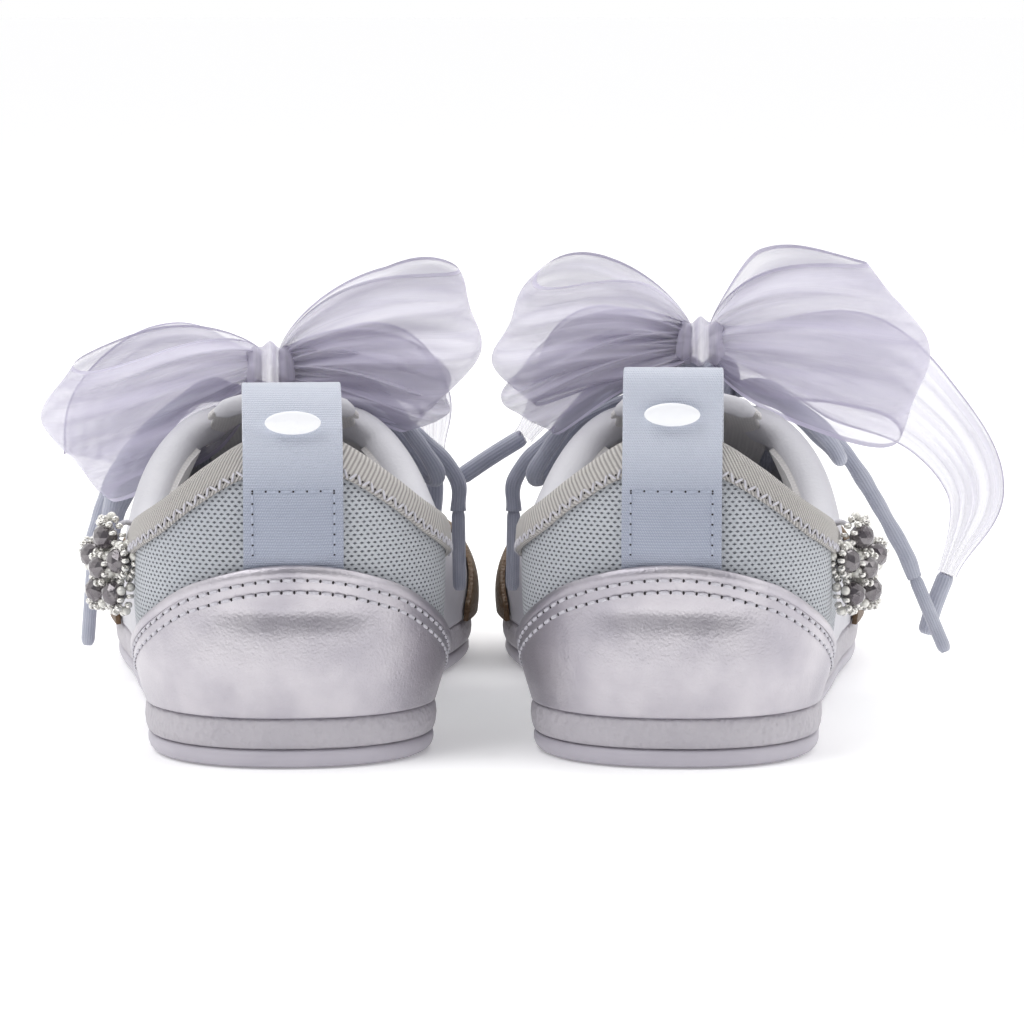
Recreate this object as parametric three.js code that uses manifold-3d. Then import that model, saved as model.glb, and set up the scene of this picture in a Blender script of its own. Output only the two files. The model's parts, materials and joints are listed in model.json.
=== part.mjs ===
// A pair of low cheer shoes, seen from the heels: +Y runs to the toes, +Z is up, millimetres.
// Each shoe is an upper of mesh, leather and linings on a thin two-layer sole, with a webbing pull
// tab, a tongue, satin and organza ribbon laces tied in bows, and a beaded flower on its outer side.
// A shoe is modelled as the right one, outer side at +x, and the left one is its mirror image.
import * as THREE from "three";
import { mergeVertices } from "three/addons/utils/BufferGeometryUtils.js";
import Module from "manifold-3d";

const wasm = await Module();
wasm.setup();

// ---- Driving dimensions -------------------------------------------------------------------------
const GAP = 0.3; // running gap between pieces that touch
const SOLE_LENGTH = 252;
const HEEL_WIDTH = 66;
const BALL_WIDTH = 92;
const OUTSOLE = 4.3; // thickness of the rubber outsole
const MIDSOLE = 6.8; // thickness of the foam midsole
const TOE_SPRING = 4; // lift of the toe tip off the floor
const COLLAR_BACK = 74; // top of the upper above the floor at the heel
const COLLAR_DIP = 49; // the same beside the ankle
const COLLAR_FRONT = 71; // the same at the top of the lace stays
const INSTEP_HEIGHT = 76.5; // ridge of the last where the collar meets the lace stays
const VAMP_HEIGHT = 47; // ridge of the last over the ball
const THROAT_HALF = 15; // half the width between the lace stays
const QUARTER_BULGE = 5.2; // how far the upper swells past the sole's edge
const LEATHER = 1.2;
const MESH = 1.4;
const LINING = 3.6; // padded collar and lining
const BINDING_BAND = 7; // width of the collar tape
const COUNTER_TOP = 46; // top of the silver heel counter above the floor
const TAB_WIDTH = 22; // pull tab webbing
const WEBBING = 1.1;
const TAB_LOOP = 15; // height of the free loop above the collar
const SATIN = 4.4; // satin lace, gathered
const RIBBON = 30; // organza ribbon tail
const AGLET_LENGTH = 20;
const AGLET = 3.4;
const CHARM = 25; // beaded flower, across
const CHARM_THICK = 7.5;
const CHARM_Z = 38; // its centre above the floor
const CHARM_STAND = 3.4; // its back off the last
const SHANK = 1.6; // thread shank it swings on
const SHANK_RISE = 9.5; // shank above the flower's centre
const HEEL_SPACING = 88.4; // between the two heels' centres
const TOE_OUT = 4; // degrees each shoe turns outward

// ---- The last: one smooth surface that every piece of the upper lies on --------------------------
// A place on it is (w, a). w runs round the shoe: 0 heel back, 1 heel side, 2 ball, 3 toe tip,
// positive on the outer side and negative on the inner. a climbs from 0 at the sole to PI/2 at the ridge.
const HEEL_Y = 0.135 * SOLE_LENGTH; // centre of the round heel
const BALL_Y = 0.714 * SOLE_LENGTH; // widest place of the forefoot
const COLLAR_Y = 0.42 * SOLE_LENGTH; // where the collar ends and the lace stays begin
const THROAT_Y = 0.675 * SOLE_LENGTH; // front end of the lace opening
const FEATHER = OUTSOLE + MIDSOLE + 2 * GAP; // height of the upper's lower edge
const HEEL_SQUARENESS = 2.25;
const TOE_SQUARENESS = 2.15;
const RIDGE = Math.PI / 2;

/** A smooth curve through [place, value] pairs, level at both ends and beyond them. */
function through(pairs) {
  const last = pairs.length - 1;
  const slope = (k) =>
    k === 0 || k === last ? 0 : (pairs[k + 1][1] - pairs[k - 1][1]) / (pairs[k + 1][0] - pairs[k - 1][0]);
  return (at) => {
    if (at <= pairs[0][0]) return pairs[0][1];
    if (at >= pairs[last][0]) return pairs[last][1];
    const k = pairs.findIndex((pair, i) => i < last && at <= pairs[i + 1][0]);
    const span = pairs[k + 1][0] - pairs[k][0];
    const t = (at - pairs[k][0]) / span;
    const rise = t * t * (3 - 2 * t);
    const bend = span * (t * (1 - t) ** 2 * slope(k) - t * t * (1 - t) * slope(k + 1));
    return pairs[k][1] * (1 - rise) + pairs[k + 1][1] * rise + bend;
  };
}

const halfWidth = through([
  [HEEL_Y, HEEL_WIDTH / 2],
  [0.33 * SOLE_LENGTH, HEEL_WIDTH / 2 - 1],
  [0.52 * SOLE_LENGTH, (HEEL_WIDTH + BALL_WIDTH) / 4 - 1],
  [BALL_Y, BALL_WIDTH / 2],
]);
const soleCentre = through([[HEEL_Y, 0], [0.38 * SOLE_LENGTH, 1], [BALL_Y, -4]]);
const ridgeCentre = through([[HEEL_Y, 0], [COLLAR_Y, 0], [BALL_Y, -4]]);
const ridgeHeight = through([
  [HEEL_Y, COLLAR_BACK + 31],
  [0.3 * SOLE_LENGTH, COLLAR_BACK + 18],
  [COLLAR_Y, INSTEP_HEIGHT],
  [0.56 * SOLE_LENGTH, 0.5 * (INSTEP_HEIGHT + VAMP_HEIGHT) - 1],
  [BALL_Y, VAMP_HEIGHT],
]);
const fullness = through([[HEEL_Y, 2.5], [COLLAR_Y, 2.15], [BALL_Y, 2.2]]);
const bulge = through([[HEEL_Y, 0.75 * QUARTER_BULGE], [0.24 * SOLE_LENGTH, QUARTER_BULGE], [BALL_Y, 1.5]]);
const toeLift = (y) => TOE_SPRING * Math.max(0, (y - BALL_Y) / (SOLE_LENGTH - BALL_Y)) ** 2;

const rounded = (value, squareness) => Math.max(0, value) ** (2 / squareness);

/** The place round the shoe of a distance y from the heel, on the outer side. */
const sideAt = (y) => 1 + (y - HEEL_Y) / (BALL_Y - HEEL_Y);

/** The edge of the sole and the point of the ridge that belong to w, which may also run from 3 to 6. */
function outline(w) {
  const turned = w > 3 ? w - 6 : w;
  const side = turned < 0 ? -1 : 1;
  const s = Math.abs(turned);
  if (s <= 1) {
    const x = side * halfWidth(HEEL_Y) * rounded(Math.sin(s * RIDGE), HEEL_SQUARENESS);
    const y = HEEL_Y * (1 - rounded(Math.cos(s * RIDGE), HEEL_SQUARENESS));
    return { edge: new THREE.Vector2(x, y), ridge: new THREE.Vector2(0, HEEL_Y) };
  }
  if (s <= 2) {
    const y = HEEL_Y + (s - 1) * (BALL_Y - HEEL_Y);
    const x = soleCentre(y) + side * halfWidth(y);
    return { edge: new THREE.Vector2(x, y), ridge: new THREE.Vector2(ridgeCentre(y), y) };
  }
  const turn = (s - 2) * RIDGE;
  const x = soleCentre(BALL_Y) + side * halfWidth(BALL_Y) * rounded(Math.cos(turn), TOE_SQUARENESS);
  const y = BALL_Y + (SOLE_LENGTH - BALL_Y) * rounded(Math.sin(turn), TOE_SQUARENESS);
  return { edge: new THREE.Vector2(x, y), ridge: new THREE.Vector2(ridgeCentre(BALL_Y), BALL_Y) };
}

/** The point of the last at (w, a). */
function lastPoint(w, a) {
  const { edge, ridge } = outline(w);
  const n = fullness(ridge.y);
  const reach = rounded(Math.cos(a), n);
  const rise = rounded(Math.sin(a), n);
  const out = edge.clone().sub(ridge);
  const swell = bulge(ridge.y) * Math.sin(Math.PI * Math.min(1, rise)) * reach;
  const plan = ridge.clone().addScaledVector(out, reach).addScaledVector(out.normalize(), swell);
  const z = FEATHER + (ridgeHeight(ridge.y) - FEATHER) * rise;
  return new THREE.Vector3(plan.x, plan.y, z + toeLift(plan.y));
}

/** The outward normal of the last at (w, a). On the ridge both sides share one. */
function lastNormal(w, a) {
  const step = 1e-3;
  if (a > RIDGE - 1e-6) {
    const y = outline(w).ridge.y;
    const slope = (ridgeHeight(y + step) - ridgeHeight(y - step)) / (2 * step);
    return new THREE.Vector3(0, -slope, 1).normalize();
  }
  const along = lastPoint(w + step, a).sub(lastPoint(w - step, a));
  const up = lastPoint(w, Math.min(a + step, RIDGE)).sub(lastPoint(w, Math.max(a - step, 0)));
  return along.cross(up).normalize();
}

const offLast = (w, a, off) => lastPoint(w, a).addScaledVector(lastNormal(w, a), off);

/** The angle up the last at which it reaches height z above the floor. */
function climbTo(w, z) {
  const y = outline(w).ridge.y;
  const share = (z - FEATHER) / (ridgeHeight(y) - FEATHER);
  return Math.asin(THREE.MathUtils.clamp(share, 0, 1) ** (fullness(y) / 2));
}

/** The angle up the last at which it is that far from the ridge, in plan. */
function climbToHalf(w, half) {
  const { edge, ridge } = outline(w);
  const share = THREE.MathUtils.clamp(half / edge.distanceTo(ridge), 0, 1);
  return Math.acos(share ** (fullness(ridge.y) / 2));
}

const COLLAR_W = sideAt(COLLAR_Y);
const THROAT_W = sideAt(THROAT_Y);
const collarRise = COLLAR_BACK - COLLAR_DIP;
/** The height of the collar's edge at a station round the shoe. */
const collarAt = through([
  [0, COLLAR_BACK],
  [0.19, COLLAR_DIP + 0.92 * collarRise],
  [0.39, COLLAR_DIP + 0.68 * collarRise],
  [0.64, COLLAR_DIP + 0.36 * collarRise],
  [1, COLLAR_DIP + 0.09 * collarRise],
  [sideAt(0.235 * SOLE_LENGTH), COLLAR_DIP],
  [COLLAR_W, COLLAR_FRONT],
]);
const collarHeight = (w) => collarAt(Math.abs(w));
/** The top edge of the upper: the collar, then the lace stays, then the closed ridge. */
function topEdge(w) {
  const s = Math.abs(w > 3 ? w - 6 : w);
  const y = outline(w).edge.y;
  if (s < COLLAR_W) return climbTo(w, collarHeight(s));
  if (s < THROAT_W) {
    const past = Math.max(0, (y - THROAT_Y + THROAT_HALF) / THROAT_HALF);
    return climbToHalf(w, THROAT_HALF * Math.sqrt(Math.max(0, 1 - past ** 2)));
  }
  return RIDGE;
}

// ---- Mesh building --------------------------------------------------------------------------------
/** Collects faces, drops those that have no area, and gives them back as a geometry. */
class Facets {
  points = [];
  tri(a, b, c) {
    if (a.distanceTo(b) < 1e-4 || b.distanceTo(c) < 1e-4 || c.distanceTo(a) < 1e-4) return;
    this.points.push(a, b, c);
  }
  quad(a, b, c, d) {
    this.tri(a, b, c);
    this.tri(a, c, d);
  }
  geometry() {
    return new THREE.BufferGeometry().setFromPoints(this.points);
  }
}

/** Evenly spaced numbers from one to another, both included. */
const spread = (from, to, steps) =>
  Array.from({ length: steps + 1 }, (_, i) => from + ((to - from) * i) / steps);

/** A closed shell that lies on the last between two edges, from `inner` to `outer` off its surface. */
function shell({ stations, rows, low, high, inner, outer }) {
  const facets = new Facets();
  const grid = stations.map((w) =>
    spread(low(w), high(w), rows).map((a) => [offLast(w, a, inner), offLast(w, a, outer)]),
  );
  const onRidge = stations.map((w) => high(w) > RIDGE - 1e-6);
  for (let i = 0; i + 1 < stations.length; i++) {
    for (let j = 0; j < rows; j++) {
      const [p, q, r, s] = [grid[i][j], grid[i + 1][j], grid[i + 1][j + 1], grid[i][j + 1]];
      facets.quad(p[1], q[1], r[1], s[1]);
      facets.quad(s[0], r[0], q[0], p[0]);
    }
    const [p, q, r, s] = [grid[i][0], grid[i + 1][0], grid[i + 1][rows], grid[i][rows]];
    facets.quad(p[0], q[0], q[1], p[1]);
    if (!(onRidge[i] && onRidge[i + 1])) facets.quad(s[1], r[1], r[0], s[0]);
  }
  const [first, end] = [grid[0], grid[grid.length - 1]];
  for (let j = 0; j < rows; j++) {
    facets.quad(first[j][1], first[j + 1][1], first[j + 1][0], first[j][0]);
    facets.quad(end[j][0], end[j + 1][0], end[j + 1][1], end[j][1]);
  }
  return facets.geometry();
}

const SOLE_STATIONS = [
  ...spread(-3, -2, 5),
  ...spread(-2, -1, 6).slice(1),
  ...spread(-1, 1, 12).slice(1),
  ...spread(1, 2, 6).slice(1),
  ...spread(2, 3, 5).slice(1, -1),
];

/** A closed slab with the sole's outline: a stack of levels, each at a height and an inset. */
function slab(levels) {
  const facets = new Facets();
  const rings = levels.map(({ z, inset }) =>
    SOLE_STATIONS.map((w) => {
      const { edge, ridge } = outline(w);
      const p = edge.clone().addScaledVector(ridge.clone().sub(edge).normalize(), inset);
      return new THREE.Vector3(p.x, p.y, z + toeLift(p.y));
    }),
  );
  const count = SOLE_STATIONS.length;
  for (let k = 0; k + 1 < rings.length; k++)
    for (let i = 0; i < count; i++) {
      const next = (i + 1) % count;
      facets.quad(rings[k][i], rings[k][next], rings[k + 1][next], rings[k + 1][i]);
    }
  const [bottom, top] = [rings[0], rings[rings.length - 1]];
  const heel = SOLE_STATIONS.indexOf(0);
  for (let i = 0; i < heel; i++) {
    const [near, far] = [heel + i, heel - i];
    const [ahead, behind] = [(near + 1) % count, far - 1];
    facets.quad(bottom[near], bottom[far], bottom[behind], bottom[ahead]);
    facets.quad(top[near], top[ahead], top[behind], top[far]);
  }
  return facets.geometry();
}

/** A flat ribbon along points, `width` across the given direction at each, and `thick` through. */
function ribbon(points, across, width, thick) {
  const facets = new Facets();
  const rings = points.map((p, i) => {
    const ahead = points[Math.min(i + 1, points.length - 1)];
    const tangent = ahead.clone().sub(points[Math.max(i - 1, 0)]).normalize();
    const side = across(i / (points.length - 1)).clone();
    side.addScaledVector(tangent, -side.dot(tangent)).normalize();
    const depth = tangent.clone().cross(side).multiplyScalar(thick / 2);
    side.multiplyScalar(width(i / (points.length - 1)) / 2);
    return [
      p.clone().sub(side).sub(depth),
      p.clone().add(side).sub(depth),
      p.clone().add(side).add(depth),
      p.clone().sub(side).add(depth),
    ];
  });
  for (let i = 0; i + 1 < rings.length; i++)
    for (let k = 0; k < 4; k++) {
      const next = (k + 1) % 4;
      facets.quad(rings[i][k], rings[i][next], rings[i + 1][next], rings[i + 1][k]);
    }
  const [first, end] = [rings[0], rings[rings.length - 1]];
  facets.quad(first[3], first[2], first[1], first[0]);
  facets.quad(...end);
  return facets.geometry();
}

const vectors = (list) => list.map(([x, y, z]) => new THREE.Vector3(x, y, z));
const smooth = (list) => new THREE.CatmullRomCurve3(vectors(list), false, "catmullrom", 0.5);

/** A round tube with flat ends along a curve. */
function tube(curve, diameter, steps, sides = 8) {
  const ring = spread(0, 2 * Math.PI, sides)
    .slice(0, -1)
    .map((t) => new THREE.Vector2(Math.cos(t), Math.sin(t)).multiplyScalar(diameter / 2));
  const along = { steps, extrudePath: curve, bevelEnabled: false };
  return new THREE.ExtrudeGeometry(new THREE.Shape(ring), along);
}

function toManifold(geometry) {
  const bare = new THREE.BufferGeometry().setAttribute("position", geometry.getAttribute("position"));
  if (geometry.index) bare.setIndex(geometry.index);
  const merged = mergeVertices(bare, 1e-3);
  return new wasm.Manifold(
    new wasm.Mesh({
      numProp: 3,
      vertProperties: new Float32Array(merged.attributes.position.array),
      triVerts: new Uint32Array(merged.index.array),
    }),
  );
}

function fromManifold(solid) {
  const mesh = solid.getMesh();
  return new THREE.BufferGeometry()
    .setAttribute("position", new THREE.BufferAttribute(new Float32Array(mesh.vertProperties), 3))
    .setIndex(new THREE.BufferAttribute(new Uint32Array(mesh.triVerts), 1));
}

const joined = (...parts) => fromManifold(parts.map(toManifold).reduce((a, b) => a.add(b)));

/** An ellipsoid with the given half sizes, at a point. */
function ellipsoid(at, half, segments) {
  return new THREE.SphereGeometry(1, ...segments).scale(...half).translate(...at);
}

// ---- Materials ------------------------------------------------------------------------------------
const material = (color, roughness, metalness = 0) =>
  new THREE.MeshStandardMaterial({ color, roughness, metalness });
const RUBBER = material("#c9c3ca", 0.6);
const FOAM = material("#cdc7cc", 0.7);
const GUM = material("#6d5234", 0.65);
const SILVER_LEATHER = material("#c8c2cb", 0.32, 0.75);
const PALE_LEATHER = material("#d9d4d3", 0.5);
const MESH_FABRIC = material("#b9bcc0", 0.9);
const LINING_FABRIC = material("#d4cfcb", 0.9);
const BINDING_TAPE = material("#cbc6c2", 0.85);
const WEBBING_SATIN = material("#9aa3b8", 0.45);
const BOARD = material("#d8d2c4", 0.9);
const INSOLE_FABRIC = material("#b4b4ba", 0.9);
const SATIN_LACE = material("#8d8ea1", 0.5);
const ORGANZA = material("#ddd5e6", 0.4);
const THREAD = material("#e6e3de", 0.7);
const CRYSTAL = material("#cfc9c0", 0.1);

// ---- The pieces of one shoe ---------------------------------------------------------------------
const REAR = [
  ...spread(-COLLAR_W, -1, 5),
  ...spread(-1, 1, 14).slice(1),
  ...spread(1, COLLAR_W, 5).slice(1),
];
const FRONT_HALF = [
  ...spread(COLLAR_W + 0.004, THROAT_W, 8),
  ...spread(THROAT_W, 2, 1).slice(1),
  ...spread(2, 3, 6).slice(1),
];
const FRONT = [...FRONT_HALF, ...FRONT_HALF.slice(0, -1).reverse().map((w) => 6 - w)];

const LINING_OUT = -MESH - LEATHER - 3 * GAP; // outer face of the lining, off the last
const LINING_IN = LINING_OUT - LINING;
const OVERLAY_IN = GAP;
const BINDING_TOP = OVERLAY_IN + 1; // outer face of the collar tape, off the last

function sole() {
  const outsole = slab([
    { z: 0, inset: 3.2 },
    { z: 1.6, inset: 1.4 },
    { z: OUTSOLE, inset: 0.6 },
  ]);
  const base = OUTSOLE + GAP;
  const midsole = slab([
    { z: base, inset: 0.5 },
    { z: base + 0.5 * MIDSOLE, inset: -0.3 },
    { z: base + MIDSOLE, inset: 0.2 },
  ]);
  return { outsole: [outsole, RUBBER], midsole: [midsole, FOAM] };
}

const BOARD_INSET = 2 - LINING_IN;
const BOARD_THICK = 1.6;
const SOCKLINER_THICK = 3.6;
function insoles() {
  const low = FEATHER;
  const board = slab([
    { z: low, inset: BOARD_INSET },
    { z: low + BOARD_THICK, inset: BOARD_INSET },
  ]);
  const sock = low + BOARD_THICK + GAP;
  const sockliner = slab([
    { z: sock, inset: BOARD_INSET },
    { z: sock + SOCKLINER_THICK, inset: BOARD_INSET + 0.8 },
  ]);
  return { insole_board: [board, BOARD], sockliner: [sockliner, INSOLE_FABRIC] };
}

const foot = () => 0;
const COUNTER_END_Y = 0.31 * SOLE_LENGTH;
const counterAt = through([
  [0, COUNTER_TOP],
  [0.38, COUNTER_TOP - 4.5],
  [0.64, COUNTER_TOP - 11.5],
  [1, COUNTER_TOP - 22],
  [sideAt(COUNTER_END_Y), FEATHER + 5],
]);
const counterEdge = (w) => counterAt(Math.abs(w));
const LINING_END_Y = 0.365 * SOLE_LENGTH; // the padding stops here, where the tongue tucks in
const upTo = (y) => REAR.filter((w) => outline(w).edge.y <= y + 1e-6);

/** The stations of the rear up to a place along the shoe, with that place itself at both ends. */
function rearStations(y) {
  const end = sideAt(y);
  return [-end, ...upTo(y - 2), end];
}

function rear() {
  const counterHigh = (w) => climbTo(w, counterEdge(w));
  const quarter = shell({ stations: REAR, rows: 6, low: foot, high: topEdge, inner: -MESH, outer: 0 });
  const counter = shell({
    stations: rearStations(COUNTER_END_Y),
    rows: 4,
    low: foot,
    high: counterHigh,
    inner: OVERLAY_IN,
    outer: OVERLAY_IN + LEATHER,
  });
  const stiffener = shell({
    stations: REAR.filter((w) => Math.abs(w) <= 1),
    rows: 3,
    low: () => climbTo(0, FEATHER + 0.5),
    high: (w) => climbTo(w, counterEdge(w) - 4),
    inner: -MESH - GAP - LEATHER,
    outer: -MESH - GAP,
  });
  const lining = shell({
    stations: rearStations(LINING_END_Y),
    rows: 6,
    low: foot,
    high: (w) => climbTo(w, collarHeight(w) + 1),
    inner: LINING_IN,
    outer: LINING_OUT,
  });
  const binding = shell({
    stations: REAR.slice(1, -1),
    rows: 3,
    low: (w) => climbTo(w, collarHeight(w) - BINDING_BAND),
    high: (w) => climbTo(w, collarHeight(w) + 0.5),
    inner: OVERLAY_IN + 0.4,
    outer: BINDING_TOP,
  });
  return {
    heel_counter: [counter, SILVER_LEATHER],
    counter_stiffener: [stiffener, BOARD],
    quarter: [quarter, MESH_FABRIC],
    collar_lining: [lining, LINING_FABRIC],
    collar_binding: [binding, BINDING_TAPE],
  };
}

const STAY_WIDTH = 15;
const STAY_IN = 2 * OVERLAY_IN; // inner face of the overlays on the front, off the last
const GUARD_HEIGHT = 20;
function front() {
  const vamp = shell({ stations: FRONT, rows: 7, low: foot, high: topEdge, inner: -MESH - GAP, outer: 0 });
  const stayStations = FRONT_HALF.filter((w) => w > COLLAR_W + 0.01 && w < THROAT_W - 0.01);
  const stay = (side) =>
    shell({
      stations: side > 0 ? stayStations : stayStations.map((w) => -w).reverse(),
      rows: 4,
      low: (w) => climbToHalf(w, THROAT_HALF + STAY_WIDTH),
      high: (w) => topEdge(w) - 0.01,
      inner: STAY_IN,
      outer: STAY_IN + LEATHER,
    });
  const guard = shell({
    stations: FRONT.filter((w) => Math.abs(w - 3) < 1.18),
    rows: 4,
    low: foot,
    high: (w) => climbTo(w, FEATHER + GUARD_HEIGHT),
    inner: STAY_IN,
    outer: STAY_IN + LEATHER,
  });
  return {
    vamp: [vamp, PALE_LEATHER],
    eyestay_outer: [stay(1), PALE_LEATHER],
    eyestay_inner: [stay(-1), PALE_LEATHER],
    toe_guard: [guard, GUM],
  };
}

// The tongue is a padded plate under the lace stays. It turns about its sewn root at the throat.
const TONGUE_THICK = 3.6;
const TONGUE_TIP_Y = 0.335 * SOLE_LENGTH;
const TONGUE_DROP = 2.2 + MESH; // top of the tongue below the last's ridge
const tongueHalf = through([[TONGUE_TIP_Y, 19], [LINING_END_Y, 17], [COLLAR_Y, 19], [THROAT_Y, 16]]);
const tongueRidge = through([
  [TONGUE_TIP_Y, INSTEP_HEIGHT + 4],
  [COLLAR_Y, INSTEP_HEIGHT],
  [0.56 * SOLE_LENGTH, 0.5 * (INSTEP_HEIGHT + VAMP_HEIGHT) - 1],
  [THROAT_Y, ridgeHeight(THROAT_Y)],
]);
const tongueCurl = through([[TONGUE_TIP_Y, 0.45], [LINING_END_Y, 0.55], [COLLAR_Y, 1.05]]);
function tongue() {
  const facets = new Facets();
  const ys = spread(TONGUE_TIP_Y, THROAT_Y + 2, 9);
  const ts = spread(-1, 1, 8);
  const at = (y, t, drop) => {
    const across = t * tongueHalf(y);
    const share = Math.abs(across) / halfWidth(y);
    const n = fullness(y);
    const fall = (tongueRidge(y) - FEATHER) * (1 - (1 - share ** n) ** (1 / n)) * tongueCurl(y);
    return new THREE.Vector3(ridgeCentre(y) + across, y, tongueRidge(y) - fall - TONGUE_DROP - drop);
  };
  const grid = ys.map((y) => ts.map((t) => [at(y, t, 0), at(y, t, TONGUE_THICK)]));
  const [m, n] = [ys.length - 1, ts.length - 1];
  for (let i = 0; i < m; i++) {
    for (let j = 0; j < n; j++) {
      const [p, q, r, s] = [grid[i][j], grid[i][j + 1], grid[i + 1][j + 1], grid[i + 1][j]];
      facets.quad(p[0], q[0], r[0], s[0]);
      facets.quad(s[1], r[1], q[1], p[1]);
    }
    facets.quad(grid[i][0][1], grid[i][0][0], grid[i + 1][0][0], grid[i + 1][0][1]);
    facets.quad(grid[i + 1][n][1], grid[i + 1][n][0], grid[i][n][0], grid[i][n][1]);
  }
  for (let j = 0; j < n; j++) {
    facets.quad(grid[0][j][1], grid[0][j + 1][1], grid[0][j + 1][0], grid[0][j][0]);
    facets.quad(grid[m][j][0], grid[m][j + 1][0], grid[m][j + 1][1], grid[m][j][1]);
  }
  return { tongue: [facets.geometry(), LINING_FABRIC] };
}

// The pull tab: a strip sewn up the heel, then a free loop that stands over the collar.
const TAB_OFF = BINDING_TOP + 0.1 + GAP;
const TAB_W = (2 / Math.PI) * Math.asin((TAB_WIDTH / HEEL_WIDTH) ** (HEEL_SQUARENESS / 2));
const LOOP_DEPTH = 12.4;
function pullTab() {
  const strap = shell({
    stations: spread(-TAB_W, TAB_W, 4),
    rows: 4,
    low: (w) => climbTo(w, COUNTER_TOP + 1),
    high: (w) => climbTo(w, COLLAR_BACK + 0.4),
    inner: TAB_OFF,
    outer: TAB_OFF + WEBBING,
  });
  const base = offLast(0, climbTo(0, COLLAR_BACK + 0.4), TAB_OFF + WEBBING / 2);
  const root = base.z + GAP + 0.4;
  const round = (LOOP_DEPTH - WEBBING) / 2;
  const [y, z] = [base.y + round, root + TAB_LOOP - round];
  const arch = spread(Math.PI, 0, 8).map((t) => [0, y + round * Math.cos(t), z + round * Math.sin(t)]);
  const legs = vectors([[0, base.y, root], ...arch, [0, base.y + 2 * round, root]]);
  const loop = ribbon(legs, () => new THREE.Vector3(1, 0, 0), () => TAB_WIDTH, WEBBING);
  return {
    tab_strap: [strap, WEBBING_SATIN],
    tab_loop: [loop, WEBBING_SATIN],
  };
}

// ---- Laces, bows and the beaded flower ------------------------------------------------------------
const LACE_ROWS = 4;
const KNOT_Y = 0.43 * SOLE_LENGTH;
const LOOP_Y = KNOT_Y - 7; // the bow's loops fall a little towards the heel
const KNOT_X = 3;
const KNOT_HALF = 6.5;
const SATIN_KNOT = 8; // half the width of the knot in the satin lace
const STAY_TOP = STAY_IN + LEATHER; // outer face of the lace stays, off the last

/** The satin lace that runs to and fro over the lace stays up to the highest eyelets, and its knot. */
function lacing({ satinKnot }) {
  const ys = spread(THROAT_Y - 12, KNOT_Y + 3, LACE_ROWS - 1);
  const half = THROAT_HALF + 4;
  const over = STAY_TOP + GAP + 3.6 + SATIN / 2;
  const height = (y) => offLast(sideAt(y), climbToHalf(sideAt(y), half), over).z;
  const points = ys.flatMap((y, row) => {
    const side = row % 2 ? -1 : 1;
    const middle = Math.max(height(y) + 0.6, ridgeHeight(y) - TONGUE_DROP + GAP + 0.3 + SATIN / 2);
    const bar = [[side, height(y)], [0, middle], [-side, height(y)]];
    return bar.map(([t, z]) => [ridgeCentre(y) + t * half, y, z]);
  });
  const knotHalf = [SATIN_KNOT, 5.5, satinKnot.half];
  const knot = ellipsoid([KNOT_X, KNOT_Y + 8, satinKnot.z], knotHalf, [12, 8]);
  return { lacing: [joined(tube(smooth(points), SATIN - 0.8, 48), knot), SATIN_LACE] };
}

/** A bow loop: a bag that swells from the knot to a round end. */
function bowLoop(knot, { at, half }) {
  const side = Math.sign(at[0] - knot[0]);
  const neck = ellipsoid([knot[0] + side * (KNOT_HALF + 3.5), KNOT_Y, knot[2]], [3, 3, 4.5], [10, 7]);
  const bag = ellipsoid([at[0], LOOP_Y, at[1]], half, [16, 11]);
  return fromManifold(wasm.Manifold.hull([toManifold(neck), toManifold(bag)]));
}

/** The organza ribbon, tied in a bow over the top of the laces, with its two tails. */
function organza(drape) {
  const knot = [KNOT_X, KNOT_Y, drape.knotZ];
  const tail = ({ path, width }) =>
    ribbon(smooth(path).getPoints(16), () => new THREE.Vector3(1, 0, 1), through(width), 1);
  return {
    organza_knot: [ellipsoid(knot, [KNOT_HALF, KNOT_HALF, 6], [12, 8]), ORGANZA],
    organza_loop_outer: [bowLoop(knot, drape.outerLoop), ORGANZA],
    organza_loop_inner: [bowLoop(knot, drape.innerLoop), ORGANZA],
    organza_tail_outer: [tail(drape.outerRibbon), ORGANZA],
    organza_tail_inner: [tail(drape.innerRibbon), ORGANZA],
  };
}

/** One loop and one tipped tail of the satin lace on each side of the knot. */
function satin(drape) {
  const pieces = {};
  for (const [side, paths] of Object.entries(drape.satin)) {
    const tail = smooth(paths.tail);
    const end = tail.getPointAt(1);
    const ahead = tail.getTangentAt(1);
    const tip = new THREE.LineCurve3(
      end.clone().addScaledVector(ahead, GAP),
      end.clone().addScaledVector(ahead, GAP + AGLET_LENGTH),
    );
    pieces[`satin_loop_${side}`] = [tube(smooth(paths.loop), SATIN, 24), SATIN_LACE];
    pieces[`satin_tail_${side}`] = [tube(tail, SATIN, 18), SATIN_LACE];
    pieces[`aglet_${side}`] = [tube(tip, AGLET, 1, 10), SATIN_LACE];
  }
  return pieces;
}

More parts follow.
